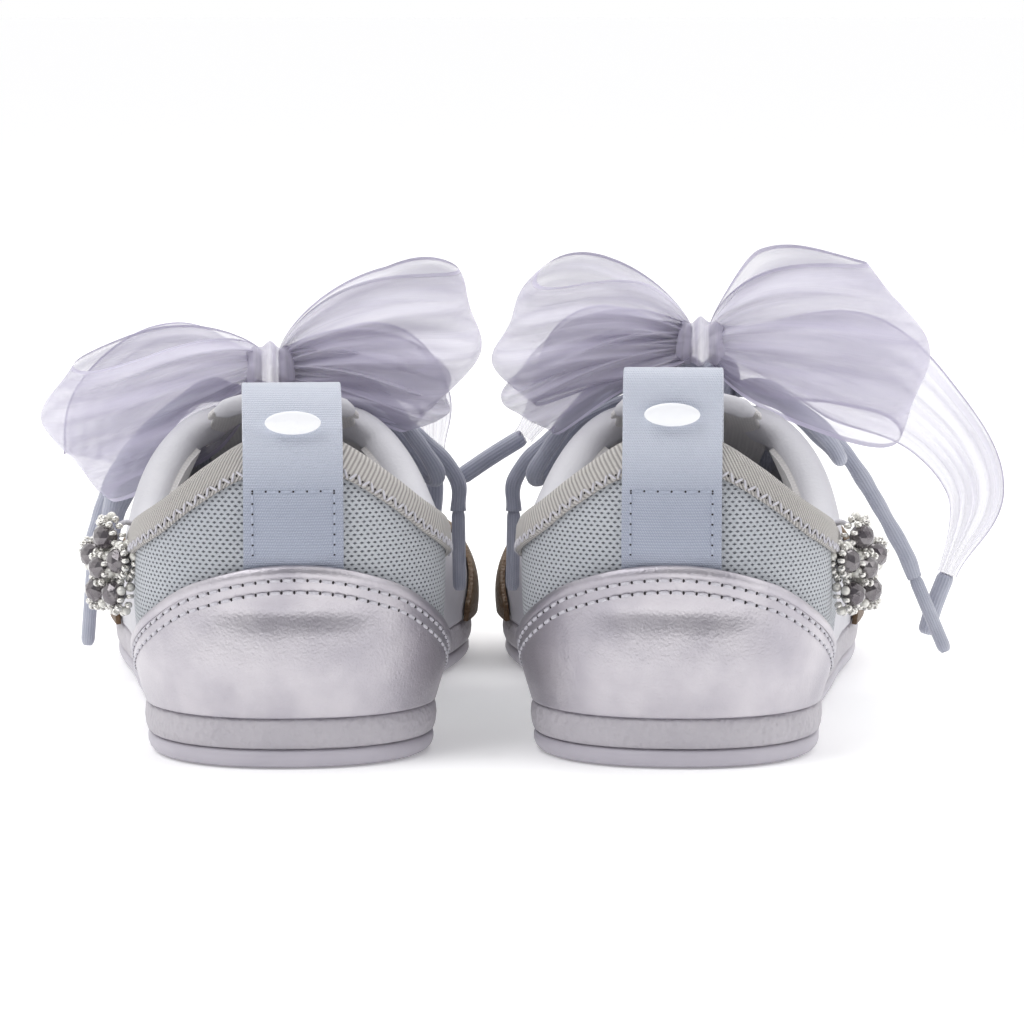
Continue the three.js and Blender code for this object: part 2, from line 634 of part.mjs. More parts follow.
// How the free ends of each shoe's laces fall. Points are in the shoe's own frame, outer side at +x.
const BACK = KNOT_Y + KNOT_HALF - 0.2; // just in front of the knot, where the ribbon's tails leave it
const LEFT_DRAPE = {
  knotZ: 81,
  satinKnot: { z: 73.3, half: 3.6 },
  outerLoop: { at: [44, 72], half: [12, 9, 18] },
  innerLoop: { at: [-31, 85.5], half: [16, 9, 19.5] },
  outerRibbon: {
    path: [[7, BACK, 81], [26, 132, 83], [47, 137, 70], [51, 138, 54]],
    width: [[0, 8], [0.5, RIBBON], [1, RIBBON - 4]],
  },
  innerRibbon: {
    path: [[-1, BACK, 81], [-22, 128, 80], [-36, 135, 70], [-38, 136, 56]],
    width: [[0, 8], [0.5, RIBBON - 8], [1, 6]],
  },
  satin: {
    outer: {
      loop: [
        [11.5, 115, 74], [20, 115, 75], [38, 116, 58], [44, 117, 36],
        [43, 122, 31], [40, 123, 46], [25, 122, 70],
      ],
      tail: [[11, 120, 74], [22, 127, 72], [38, 129, 58], [46, 129, 40], [47, 129, 30]],
    },
    inner: {
      loop: [
        [-5.5, 115, 74], [-15, 115, 76.5], [-23, 115, 74.5], [-33, 116, 62],
        [-38, 117, 54], [-36, 122, 53], [-27, 122.5, 65],
      ],
      tail: [[-5, 120, 74], [-18, 127, 74], [-36, 129, 60], [-43.6, 129, 51], [-44, 129, 43]],
    },
  },
};
const RIGHT_DRAPE = {
  knotZ: 87,
  satinKnot: { z: 76.6, half: 6.8 },
  outerLoop: { at: [42, 84], half: [15, 9, 21] },
  innerLoop: { at: [-30.5, 86], half: [15.5, 9, 17] },
  outerRibbon: {
    path: [[7, BACK, 87], [38, 130, 80], [60, 135, 66], [71, 136, 48], [64, 136, 27]],
    width: [[0, 8], [0.45, RIBBON], [0.75, RIBBON - 4], [1, 5]],
  },
  innerRibbon: {
    path: [[-1, BACK, 87], [-22, 128, 84], [-34, 134, 72], [-42, 135, 61]],
    width: [[0, 8], [0.5, RIBBON - 8], [1, 5]],
  },
  satin: {
    outer: {
      loop: [[11.5, 115, 75], [20, 115, 75], [33, 116, 64], [37, 118, 58], [34, 122, 61], [24, 122, 70]],
      tail: [[11, 120, 75], [22, 127, 72], [37.7, 129, 59], [52, 129, 36], [56, 129, 27]],
    },
    inner: {
      loop: [
        [-5.5, 115, 75], [-15, 115, 76.5], [-23, 115, 74.5], [-33, 116, 62],
        [-38, 117, 54], [-36, 122, 53], [-27, 122.5, 65],
      ],
      tail: [[-5, 120, 75], [-18, 127, 74], [-36, 129, 60], [-43.6, 129, 51], [-44, 129, 43]],
    },
  },
};

function flower() {
  const lobes = 5;
  const rim = spread(0, 2 * Math.PI, 40)
    .slice(0, -1)
    .map((t) => {
      const r = (CHARM / 2) * (0.7 + 0.3 * Math.abs(Math.cos((lobes * t) / 2)));
      return new THREE.Vector2(r * Math.cos(t), r * Math.sin(t));
    });
  const disc = new THREE.ExtrudeGeometry(new THREE.Shape(rim), { depth: CHARM_THICK, bevelEnabled: false });
  const w = sideAt(0.21 * SOLE_LENGTH);
  const place = climbTo(w, CHARM_Z);
  const normal = lastNormal(w, place).setZ(0).normalize();
  const seat = offLast(w, place, 0).addScaledVector(normal, CHARM_STAND);
  const turn = new THREE.Quaternion().setFromUnitVectors(new THREE.Vector3(0, 0, 1), normal);
  disc.rotateZ(Math.PI).applyQuaternion(turn).translate(seat.x, seat.y, seat.z);
  const back = offLast(w, place, 0).dot(normal);
  const length = CHARM_STAND - BINDING_TOP - 2 * GAP;
  const shank = new THREE.CylinderGeometry(SHANK / 2, SHANK / 2, length, 12).rotateX(Math.PI / 2);
  shank.translate(0, 0, (CHARM_STAND + BINDING_TOP) / 2).applyQuaternion(turn);
  const root = offLast(w, climbTo(w, CHARM_Z + SHANK_RISE), 0);
  root.addScaledVector(normal, back - root.dot(normal));
  shank.translate(root.x, root.y, root.z);
  return { charm_flower: [disc, CRYSTAL], charm_shank: [shank, THREAD] };
}

function shoe(prefix, drape) {
  const group = new THREE.Group();
  const pieces = {
    ...sole(),
    ...insoles(),
    ...rear(),
    ...front(),
    ...tongue(),
    ...pullTab(),
    ...lacing(drape),
    ...organza(drape),
    ...satin(drape),
    ...flower(),
  };
  for (const [name, [geometry, finish]] of Object.entries(pieces)) {
    const mesh = new THREE.Mesh(geometry, finish);
    mesh.name = `${prefix}_${name}`;
    group.add(mesh);
  }
  return group;
}

// ---- The pair ---------------------------------------------------------------------------------------
const pair = new THREE.Group();
for (const [prefix, side, drape] of [["left", -1, LEFT_DRAPE], ["right", 1, RIGHT_DRAPE]]) {
  const turned = new THREE.Group();
  turned.rotation.z = -side * THREE.MathUtils.degToRad(TOE_OUT);
  turned.position.set((side * HEEL_SPACING) / 2, HEEL_Y - SOLE_LENGTH / 2, 0);
  const own = shoe(prefix, drape);
  own.position.y = -HEEL_Y;
  own.scale.x = side;
  const mirror = new THREE.Group();
  mirror.add(own);
  turned.add(mirror);
  pair.add(turned);
}

export default pair;
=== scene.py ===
"""A pair of low cheer shoes: mesh and metallic leather uppers on thin soles, with webbing heel tabs,
satin laces, organza bows and beaded flowers.

Each shoe is shaped on one last, a smooth closed form. Lengths are millimetres in a shoe's own frame,
outer side at +x, heel back at y 0 and floor at z 0, and become metres when a mesh is made.
"""

from __future__ import annotations

import json
import logging
import math
from dataclasses import dataclass, field
from enum import Enum
from typing import Callable, Sequence

import bpy
import numpy as np
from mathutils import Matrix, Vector

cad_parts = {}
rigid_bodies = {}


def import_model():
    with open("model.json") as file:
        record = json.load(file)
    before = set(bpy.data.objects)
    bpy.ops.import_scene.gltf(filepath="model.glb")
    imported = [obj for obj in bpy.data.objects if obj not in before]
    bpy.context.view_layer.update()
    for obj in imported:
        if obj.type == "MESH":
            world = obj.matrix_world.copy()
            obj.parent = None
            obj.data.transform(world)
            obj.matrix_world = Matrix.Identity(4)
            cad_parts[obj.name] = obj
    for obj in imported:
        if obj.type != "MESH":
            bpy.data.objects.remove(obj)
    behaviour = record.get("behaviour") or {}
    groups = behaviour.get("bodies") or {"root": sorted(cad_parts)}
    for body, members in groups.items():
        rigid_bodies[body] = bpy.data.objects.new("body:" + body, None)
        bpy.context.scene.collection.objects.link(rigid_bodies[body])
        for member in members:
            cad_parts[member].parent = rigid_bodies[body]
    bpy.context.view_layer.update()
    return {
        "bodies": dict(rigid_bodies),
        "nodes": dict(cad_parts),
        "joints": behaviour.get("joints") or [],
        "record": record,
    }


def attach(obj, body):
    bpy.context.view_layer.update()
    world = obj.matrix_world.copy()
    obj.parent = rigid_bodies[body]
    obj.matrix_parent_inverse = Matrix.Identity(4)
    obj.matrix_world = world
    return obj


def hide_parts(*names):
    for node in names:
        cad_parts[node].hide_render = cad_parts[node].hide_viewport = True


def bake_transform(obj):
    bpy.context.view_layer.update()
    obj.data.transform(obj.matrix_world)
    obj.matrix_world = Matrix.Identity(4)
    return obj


LOG = logging.getLogger("cheer_shoes")
MM = 0.001
RIDGE = math.pi / 2
SAME_POINT = 2e-6
BEVEL_FROM = 0.9
ROWS_DENSER_LOW = 1.25
Array = np.ndarray


class Side(Enum):
    """Which shoe of the pair."""

    LEFT = -1
    RIGHT = 1

    @property
    def prefix(self) -> str:
        """The start of the names of this shoe's pieces."""
        return self.name.lower()


# ---- Colour and nodes -----------------------------------------------------------------------------
def linear(code: str) -> tuple[float, float, float, float]:
    """Turns an sRGB hex colour to linear RGBA.

    Args:
        code: Six hex digits after a hash.

    Returns:
        Red, green, blue and an alpha of 1.
    """
    parts = [int(code[i : i + 2], 16) / 255 for i in (1, 3, 5)]
    return (*(c / 12.92 if c <= 0.04045 else ((c + 0.055) / 1.055) ** 2.4 for c in parts), 1.0)


def add(
    tree: bpy.types.NodeTree, kind: str, inputs: dict | None = None, **settings: object
) -> bpy.types.Node:
    """Adds a shader node with its settings and links.

    Args:
        tree: The node tree.
        kind: The node's type name without its ShaderNode prefix.
        inputs: Values or output sockets by input name or number.
        **settings: The node's own properties.

    Returns:
        The node.
    """
    made = tree.nodes.new("ShaderNode" + kind)
    for name, value in settings.items():
        setattr(made, name, value)
    for name, value in (inputs or {}).items():
        if isinstance(value, bpy.types.NodeSocket):
            tree.links.new(value, made.inputs[name])
        else:
            made.inputs[name].default_value = value
    return made


class Paint:
    """A material under construction: its tree, its surface shader and the patterns it reads."""

    def __init__(self, name: str, **surface: object) -> None:
        """Makes an empty material.

        Args:
            name: The material's name.
            **surface: Uniform values of the Principled shader, by input name with _ for a space.
        """
        self.material = bpy.data.materials.new(name)
        self.material.use_nodes = True
        self.tree = self.material.node_tree
        self.shader = self.tree.nodes["Principled BSDF"]
        for key, value in surface.items():
            self.shader.inputs[key.replace("_", " ")].default_value = value
        self.places = add(self.tree, "TexCoord")

    def object_mm(self, scale: Sequence[float] | float) -> bpy.types.NodeSocket:
        """Object coordinates with one unit of pattern for each `scale` millimetres.

        Args:
            scale: The pattern's unit, one for all axes or one for each.

        Returns:
            The coordinates.
        """
        size = [scale] * 3 if isinstance(scale, (int, float)) else list(scale)
        mapping = add(self.tree, "Mapping", {"Vector": self.places.outputs["Object"]})
        mapping.inputs["Scale"].default_value = [1 / (s * MM) for s in size]
        return mapping.outputs["Vector"]

    def uv_mm(self) -> tuple[bpy.types.NodeSocket, bpy.types.NodeSocket]:
        """The piece's own map, which holds millimetres along and across it."""
        split = add(self.tree, "SeparateXYZ", {"Vector": self.places.outputs["UV"]})
        return split.outputs["X"], split.outputs["Y"]

    def math(self, operation: str, *values: object) -> bpy.types.NodeSocket:
        """One Math node.

        Args:
            operation: The operation's name.
            *values: Its operands, numbers or sockets.

        Returns:
            The result.
        """
        return add(self.tree, "Math", dict(enumerate(values)), operation=operation).outputs[0]

    def blend(self, factor: object, first: object, second: object) -> bpy.types.NodeSocket:
        """Mixes two colours, given as hex or sockets.

        Args:
            factor: How much of the second, from 0 to 1.
            first: The first colour.
            second: The second.

        Returns:
            The mixed colour.
        """
        ends = [linear(c) if isinstance(c, str) else c for c in (first, second)]
        mixed = add(self.tree, "Mix", {0: factor, 6: ends[0], 7: ends[1]}, data_type="RGBA")
        return mixed.outputs[2]

    def noise(self, size: float, detail: float = 3, rough: float = 0.5) -> bpy.types.NodeSocket:
        """Fractal noise in object space with features about `size` millimetres across."""
        inputs = {"Vector": self.object_mm(size), "Scale": 1.0, "Detail": detail, "Roughness": rough}
        return add(self.tree, "TexNoise", inputs).outputs["Fac"]

    def ramp(self, value: object, low: float, high: float) -> bpy.types.NodeSocket:
        """A smooth step from 0 at `low` to 1 at `high`.

        Args:
            value: What is stepped.
            low: Where it is 0.
            high: Where it is 1.

        Returns:
            The step.
        """
        inputs = {"Value": value, "From Min": low, "From Max": high}
        step = add(self.tree, "MapRange", inputs, interpolation_type="SMOOTHSTEP")
        return step.outputs["Result"]

    def wave(self, along: object, pitch: float) -> bpy.types.NodeSocket:
        """Ribs across a direction: 1 on each rib and 0 between, `pitch` millimetres apart."""
        turn = self.math("MULTIPLY", along, 2 * math.pi / pitch)
        return self.math("MULTIPLY_ADD", self.math("SINE", turn), 0.5, 0.5)

    def colour(self, socket: object) -> None:
        """Sets the base colour from a hex code or a socket."""
        self.feed("Base Color", linear(socket) if isinstance(socket, str) else socket)

    def feed(self, name: str, value: object) -> None:
        """Sets or links one input of the shader."""
        if isinstance(value, bpy.types.NodeSocket):
            self.tree.links.new(value, self.shader.inputs[name])
        else:
            self.shader.inputs[name].default_value = value

    def relief(self, *layers: tuple[object, float]) -> None:
        """Adds bump from several heights.

        Args:
            *layers: Pairs of a height socket and its real depth in millimetres.
        """
        normal = None
        for height, depth in layers:
            inputs = {"Height": height, "Strength": 1.0, "Distance": depth * MM}
            if normal is not None:
                inputs["Normal"] = normal
            normal = add(self.tree, "Bump", inputs).outputs["Normal"]
        self.feed("Normal", normal)


@dataclass(frozen=True)
class SpacerMesh:
    """Knitted polyester spacer mesh: staggered slits between pale yarns, painted dark, partly the layer below
    and partly the shade that falls into them.
    """

    yarn: str = "#c9ccd0"
    shade: str = "#b3b7be"
    # Colour of the slits: the layer below, darkened further by painted shade.
    hole: str = "#666a71"
    pitch: tuple[float, float] = (1.72, 0.94)

    def make(self) -> bpy.types.Material:
        """Builds the material."""
        paint = Paint("spacer_mesh", Roughness=0.82, Sheen_Weight=0.25, Sheen_Roughness=0.4)
        u, v = paint.uv_mm()
        row = paint.math("DIVIDE", v, self.pitch[1])
        stagger = paint.math("MULTIPLY", paint.math("MODULO", paint.math("FLOOR", row), 2.0), 0.5)
        column = paint.math("ADD", paint.math("DIVIDE", u, self.pitch[0]), stagger)
        across = paint.math("ABSOLUTE", paint.math("SUBTRACT", paint.math("FRACT", column), 0.5))
        up = paint.math("ABSOLUTE", paint.math("SUBTRACT", paint.math("FRACT", row), 0.5))
        reach = paint.math("ADD", paint.math("DIVIDE", across, 0.40), paint.math("DIVIDE", up, 0.42))
        # Painted shade: a mask that darkens the slits between the yarns.
        hole = paint.math("SUBTRACT", 1.0, paint.ramp(reach, 0.45, 0.98))
        cloth = paint.blend(paint.noise(22, 2), self.yarn, self.shade)
        paint.colour(paint.blend(hole, cloth, self.hole))
        fibre = paint.wave(paint.math("ADD", u, paint.math("MULTIPLY", v, 2.0)), 0.42)
        paint.relief((paint.math("SUBTRACT", 1.0, hole), 0.35), (fibre, 0.04))
        return paint.material


@dataclass(frozen=True)
class MetallicLeather:
    """Foil-coated split leather, rolled on over fine grain: it mirrors broad soft shapes, not edges."""

    foil: str = "#c9c5ca"
    worn: str = "#b1adb5"
    grain: float = 0.55

    def make(self) -> bpy.types.Material:
        """Builds the material."""
        paint = Paint("metallic_leather", Metallic=0.86, Roughness=0.36)
        cloud = paint.noise(16, 3)
        paint.colour(paint.blend(paint.ramp(cloud, 0.3, 0.75), self.foil, self.worn))
        pores = paint.noise(self.grain, 4, 0.65)
        paint.feed("Roughness", paint.math("MULTIPLY_ADD", pores, 0.22, 0.27))
        cells = add(paint.tree, "TexVoronoi", {"Vector": paint.object_mm(0.8), "Scale": 1.0})
        paint.relief((pores, 0.12), (cells.outputs["Distance"], 0.05), (paint.noise(7, 2), 0.25))
        return paint.material


@dataclass(frozen=True)
class SmoothLeather:
    """Pigmented smooth leather: an even pale coat with faint pores and creases."""

    name: str = "smooth_leather"
    coat: str = "#cfced2"
    shade: str = "#bcbbc2"
    roughness: float = 0.5

    def make(self) -> bpy.types.Material:
        """Builds the material."""
        paint = Paint(self.name, Roughness=self.roughness, Coat_Weight=0.08, Coat_Roughness=0.4)
        paint.colour(paint.blend(paint.noise(14, 3), self.coat, self.shade))
        cells = add(paint.tree, "TexVoronoi", {"Vector": paint.object_mm(1.1), "Scale": 1.0})
        paint.relief((paint.noise(0.7, 3), 0.06), (cells.outputs["Distance"], 0.05))
        return paint.material


@dataclass(frozen=True)
class TwillTape:
    """Cotton twill tape: slanted ribs, matt and a little warm."""

    light: str = "#c6c2be"
    dark: str = "#96928f"
    rib: float = 0.95

    def make(self) -> bpy.types.Material:
        """Builds the material. The ribs are drawn a little coarser than real twill, so that they show."""
        paint = Paint("twill_tape", Roughness=0.9, Sheen_Weight=0.2)
        u, v = paint.uv_mm()
        slant = paint.math("ADD", u, paint.math("MULTIPLY", v, 0.55))
        rib = paint.wave(slant, self.rib)
        paint.colour(paint.blend(paint.ramp(rib, 0.0, 0.75), self.dark, self.light))
        paint.relief((rib, 0.22), (paint.wave(v, 0.5), 0.03))
        return paint.material


@dataclass(frozen=True)
class SatinWebbing:
    """Polyester satin webbing: fine weft ribs, with a painted silky highlight where it curves to the light.
    """

    light: str = "#bcc1ce"
    dark: str = "#8c93a6"
    # The colour of the painted highlight.
    bloom: str = "#dfe3ee"
    rib: float = 0.62
    pressed: tuple[float, float] = (15.0, 34.0)

    def make(self) -> bpy.types.Material:
        """Builds the material. A painted highlight makes it paler along the stretch where it turns over
        towards the light.
        """
        paint = Paint("satin_webbing", Roughness=0.4, Sheen_Weight=0.35, Sheen_Roughness=0.35)
        u, v = paint.uv_mm()
        weft = paint.wave(v, self.rib)
        warp = paint.wave(paint.math("ADD", u, paint.math("MULTIPLY", v, 0.5)), 0.55)
        knit = paint.math("MULTIPLY", weft, warp)
        cloth = paint.blend(paint.math("MULTIPLY_ADD", knit, 0.55, 0.2), self.dark, self.light)
        # Painted highlight: paler along the stretch where the loop turns over and faces the light.
        pressed = paint.ramp(v, self.pressed[0], self.pressed[1])
        paint.colour(paint.blend(paint.math("MULTIPLY", pressed, 0.45), cloth, self.bloom))
        paint.relief((weft, 0.07), (warp, 0.05))
        return paint.material


@dataclass(frozen=True)
class Knit:
    """Brushed knit lining: tiny ribs under a soft nap."""

    name: str = "knit_lining"
    light: str = "#cfccca"
    dark: str = "#b3b0b1"
    rib: float = 1.1

    def make(self) -> bpy.types.Material:
        """Builds the material."""
        paint = Paint(self.name, Roughness=0.95, Sheen_Weight=0.4)
        u, v = paint.uv_mm()
        rib = paint.math("MULTIPLY", paint.wave(u, self.rib), paint.wave(v, self.rib * 0.8))
        paint.colour(paint.blend(paint.math("MULTIPLY_ADD", rib, 0.5, 0.4), self.dark, self.light))
        paint.relief((rib, 0.08), (paint.noise(0.9, 2), 0.08))
        return paint.material


@dataclass(frozen=True)
class Rubber:
    """Moulded rubber or foam, with the pebbled skin of its mould where it has one."""

    name: str
    light: str
    dark: str
    pebble: float = 0.0
    roughness: float = 0.5

    def make(self) -> bpy.types.Material:
        """Builds the material."""
        paint = Paint(self.name, Roughness=self.roughness)
        paint.colour(paint.blend(paint.noise(9, 2), self.light, self.dark))
        layers = [(paint.noise(0.5, 2), 0.03)]
        if self.pebble:
            cells = {"Vector": paint.object_mm(self.pebble), "Scale": 1.0, "Smoothness": 0.6}
            skin = add(paint.tree, "TexVoronoi", cells, feature="SMOOTH_F1")
            layers.append((skin.outputs["Distance"], 0.4))
            layers.append((paint.noise(self.pebble * 1.6, 2), 0.35))
        paint.relief(*layers)
        return paint.material


@dataclass(frozen=True)
class SatinRibbonCord:
    """Satin ribbon gathered to a lace: long floats of yarn along it, silky, with patches of painted shade
    that stand for its folds.
    """

    light: str = "#c3c5d0"
    dark: str = "#989cad"

    def make(self) -> bpy.types.Material:
        """Builds the material."""
        paint = Paint("satin_lace", Roughness=0.38, Sheen_Weight=0.5, Sheen_Roughness=0.3)
        u, v = paint.uv_mm()
        float_yarn = paint.wave(v, 0.8)
        weft = paint.wave(paint.math("ADD", u, paint.math("MULTIPLY", v, 0.4)), 0.6)
        # Painted shade: random noise darkens the lace in patches, for the shade in its folds.
        floats_and_fold_shade = paint.math("MULTIPLY_ADD", float_yarn, 0.35, paint.math("MULTIPLY", paint.noise(5, 2), 0.7))
        paint.colour(paint.blend(floats_and_fold_shade, self.dark, self.light))
        paint.relief((float_yarn, 0.08), (weft, 0.03))
        return paint.material


@dataclass(frozen=True)
class Organza:
    """Sheer plain weave of fine stiff yarn: it shows what lies behind, turns milky where it folds, and has
    painted shade in its gathers.
    """

    light: str = "#dfdbeb"
    dark: str = "#b9b3cb"
    half_width: float = 19.0
    gather: tuple[float, float] = (55.0, 4.6)

    def make(self) -> bpy.types.Material:
        """Builds the material. The map's y is millimetres across from the ribbon's middle."""
        paint = Paint("organza", Roughness=0.42, Sheen_Weight=0.35, Sheen_Roughness=0.3)
        u, v = paint.uv_mm()
        edge = paint.ramp(paint.math("ABSOLUTE", v), self.half_width - 1.1, self.half_width - 0.7)
        weave = paint.math("MULTIPLY", paint.wave(u, 0.5), paint.wave(v, 0.5))
        long, short = paint.math("DIVIDE", u, self.gather[0]), paint.math("DIVIDE", v, self.gather[1])
        place = add(paint.tree, "CombineXYZ", {"X": long, "Y": short})
        gathers = {"Vector": place.outputs["Vector"], "Scale": 1.0, "Detail": 4.0, "Distortion": 0.6}
        streak = paint.ramp(add(paint.tree, "TexNoise", gathers).outputs["Fac"], 0.3, 0.72)
        # Painted shade: a noise cloud and the gather streaks darken the colour towards the shaded tone, as in
        # folds.
        cloud = paint.math("MULTIPLY_ADD", paint.noise(9, 2), 0.5, paint.math("MULTIPLY", streak, 0.55))
        paint.colour(paint.blend(cloud, self.light, self.dark))
        sheer = paint.math("MULTIPLY_ADD", streak, 0.24, 0.38)
        cover = paint.math("MAXIMUM", sheer, paint.math("MULTIPLY", edge, 0.9))
        paint.feed("Alpha", cover)
        paint.relief((weave, 0.02), (edge, 0.12), (streak, 0.3))
        return paint.material


@dataclass(frozen=True)
class Glass:
    """Glass or cut crystal, clear enough to show its backing."""

    name: str
    tint: str
    clearness: float = 0.5
    roughness: float = 0.05
    metallic: float = 0.0
    fleck: float = 1.0

    def make(self) -> bpy.types.Material:
        """Builds the material."""
        paint = Paint(
            self.name,
            Roughness=self.roughness,
            IOR=1.52,
            Transmission_Weight=self.clearness,
            Metallic=self.metallic,
            Coat_Weight=0.5,
            Coat_Roughness=0.03,
        )
        paint.colour(paint.blend(paint.math("MULTIPLY", paint.noise(3, 1), self.fleck), self.tint, "#fbf9f4"))
        paint.relief((paint.noise(0.8, 1), 0.05))
        return paint.material


@dataclass(frozen=True)
class Yarn:
    """Bonded sewing thread: a tight twist that catches small highlights."""

    name: str = "thread"
    light: str = "#dad8de"
    dark: str = "#adabb4"

    def make(self) -> bpy.types.Material:
        """Builds the material."""
        paint = Paint(self.name, Roughness=0.55, Sheen_Weight=0.3)
        paint.colour(paint.blend(paint.noise(0.6, 1), self.light, self.dark))
        paint.relief((paint.noise(0.35, 1), 0.05))
        return paint.material


class Finishes:
    """Every material of the pair, made once."""

    def __init__(self) -> None:
        """Makes the materials."""
        self.mesh = SpacerMesh().make()
        self.foil = MetallicLeather().make()
        self.leather = SmoothLeather().make()
        self.tape = TwillTape().make()
        self.webbing = SatinWebbing().make()
        self.lining = Knit().make()
        self.insole = Knit("insole_cloth", "#b9bac1", "#93949d", 1.4).make()
        self.outsole = Rubber("outsole_rubber", "#c3bfc7", "#b5b1ba", 0, 0.48).make()
        self.foam = Rubber("midsole_foam", "#c1bdc2", "#aeaab1", 1.5, 0.55).make()
        self.gum = Rubber("gum_rubber", "#6f5436", "#4e3a25", 0.9, 0.5).make()
        self.board = Rubber("fibre_board", "#d8d2c4", "#c4bcaa", 0, 0.9).make()
        self.satin = SatinRibbonCord().make()
        self.organza = Organza().make()
        self.thread = Yarn().make()
        self.blue_thread = Yarn("webbing_thread", "#b9bfce", "#8f96a9").make()
        # Dark dots of painted shade, for the shade inside the needle punctures.
        self.needle_hole = Rubber("needle_hole", "#3a3639", "#2a272a", 0, 0.9).make()
        self.clear_glass = Glass("silver_lined_glass", "#e3e1dc", 0.3, 0.1, 0.55).make()
        self.smoky_crystal = Glass("smoky_crystal", "#4a3f4b", 0.3, 0.03, 0.45, 0.3).make()
        self.pearl = Glass("pearl_glass", "#f0efe6", 0.25, 0.1, 0.15).make()
        self.badge = SmoothLeather("gloss_badge", "#fafafc", "#eef0f4", 0.22).make()


# ---- The last -------------------------------------------------------------------------------------
@dataclass(frozen=True)
class Course:
    """A smooth curve through (place, value) pairs, level at both ends and beyond them."""

    pairs: tuple[tuple[float, float], ...]

    def __call__(self, at: Array | float) -> Array:
        """The value at each place.

        Args:
            at: The places.

        Returns:
            The values.
        """
        xs, ys = np.array(self.pairs, float).T
        slope = np.zeros(len(xs))
        slope[1:-1] = (ys[2:] - ys[:-2]) / (xs[2:] - xs[:-2])
        at = np.asarray(at, float)
        k = np.clip(np.searchsorted(xs, at, side="left") - 1, 0, len(xs) - 2)
        span = xs[k + 1] - xs[k]
        t = np.clip((at - xs[k]) / span, 0, 1)
        rise = t * t * (3 - 2 * t)
        bend = span * (t * (1 - t) ** 2 * slope[k] - t * t * (1 - t) * slope[k + 1])
        return ys[k] * (1 - rise) + ys[k + 1] * rise + bend


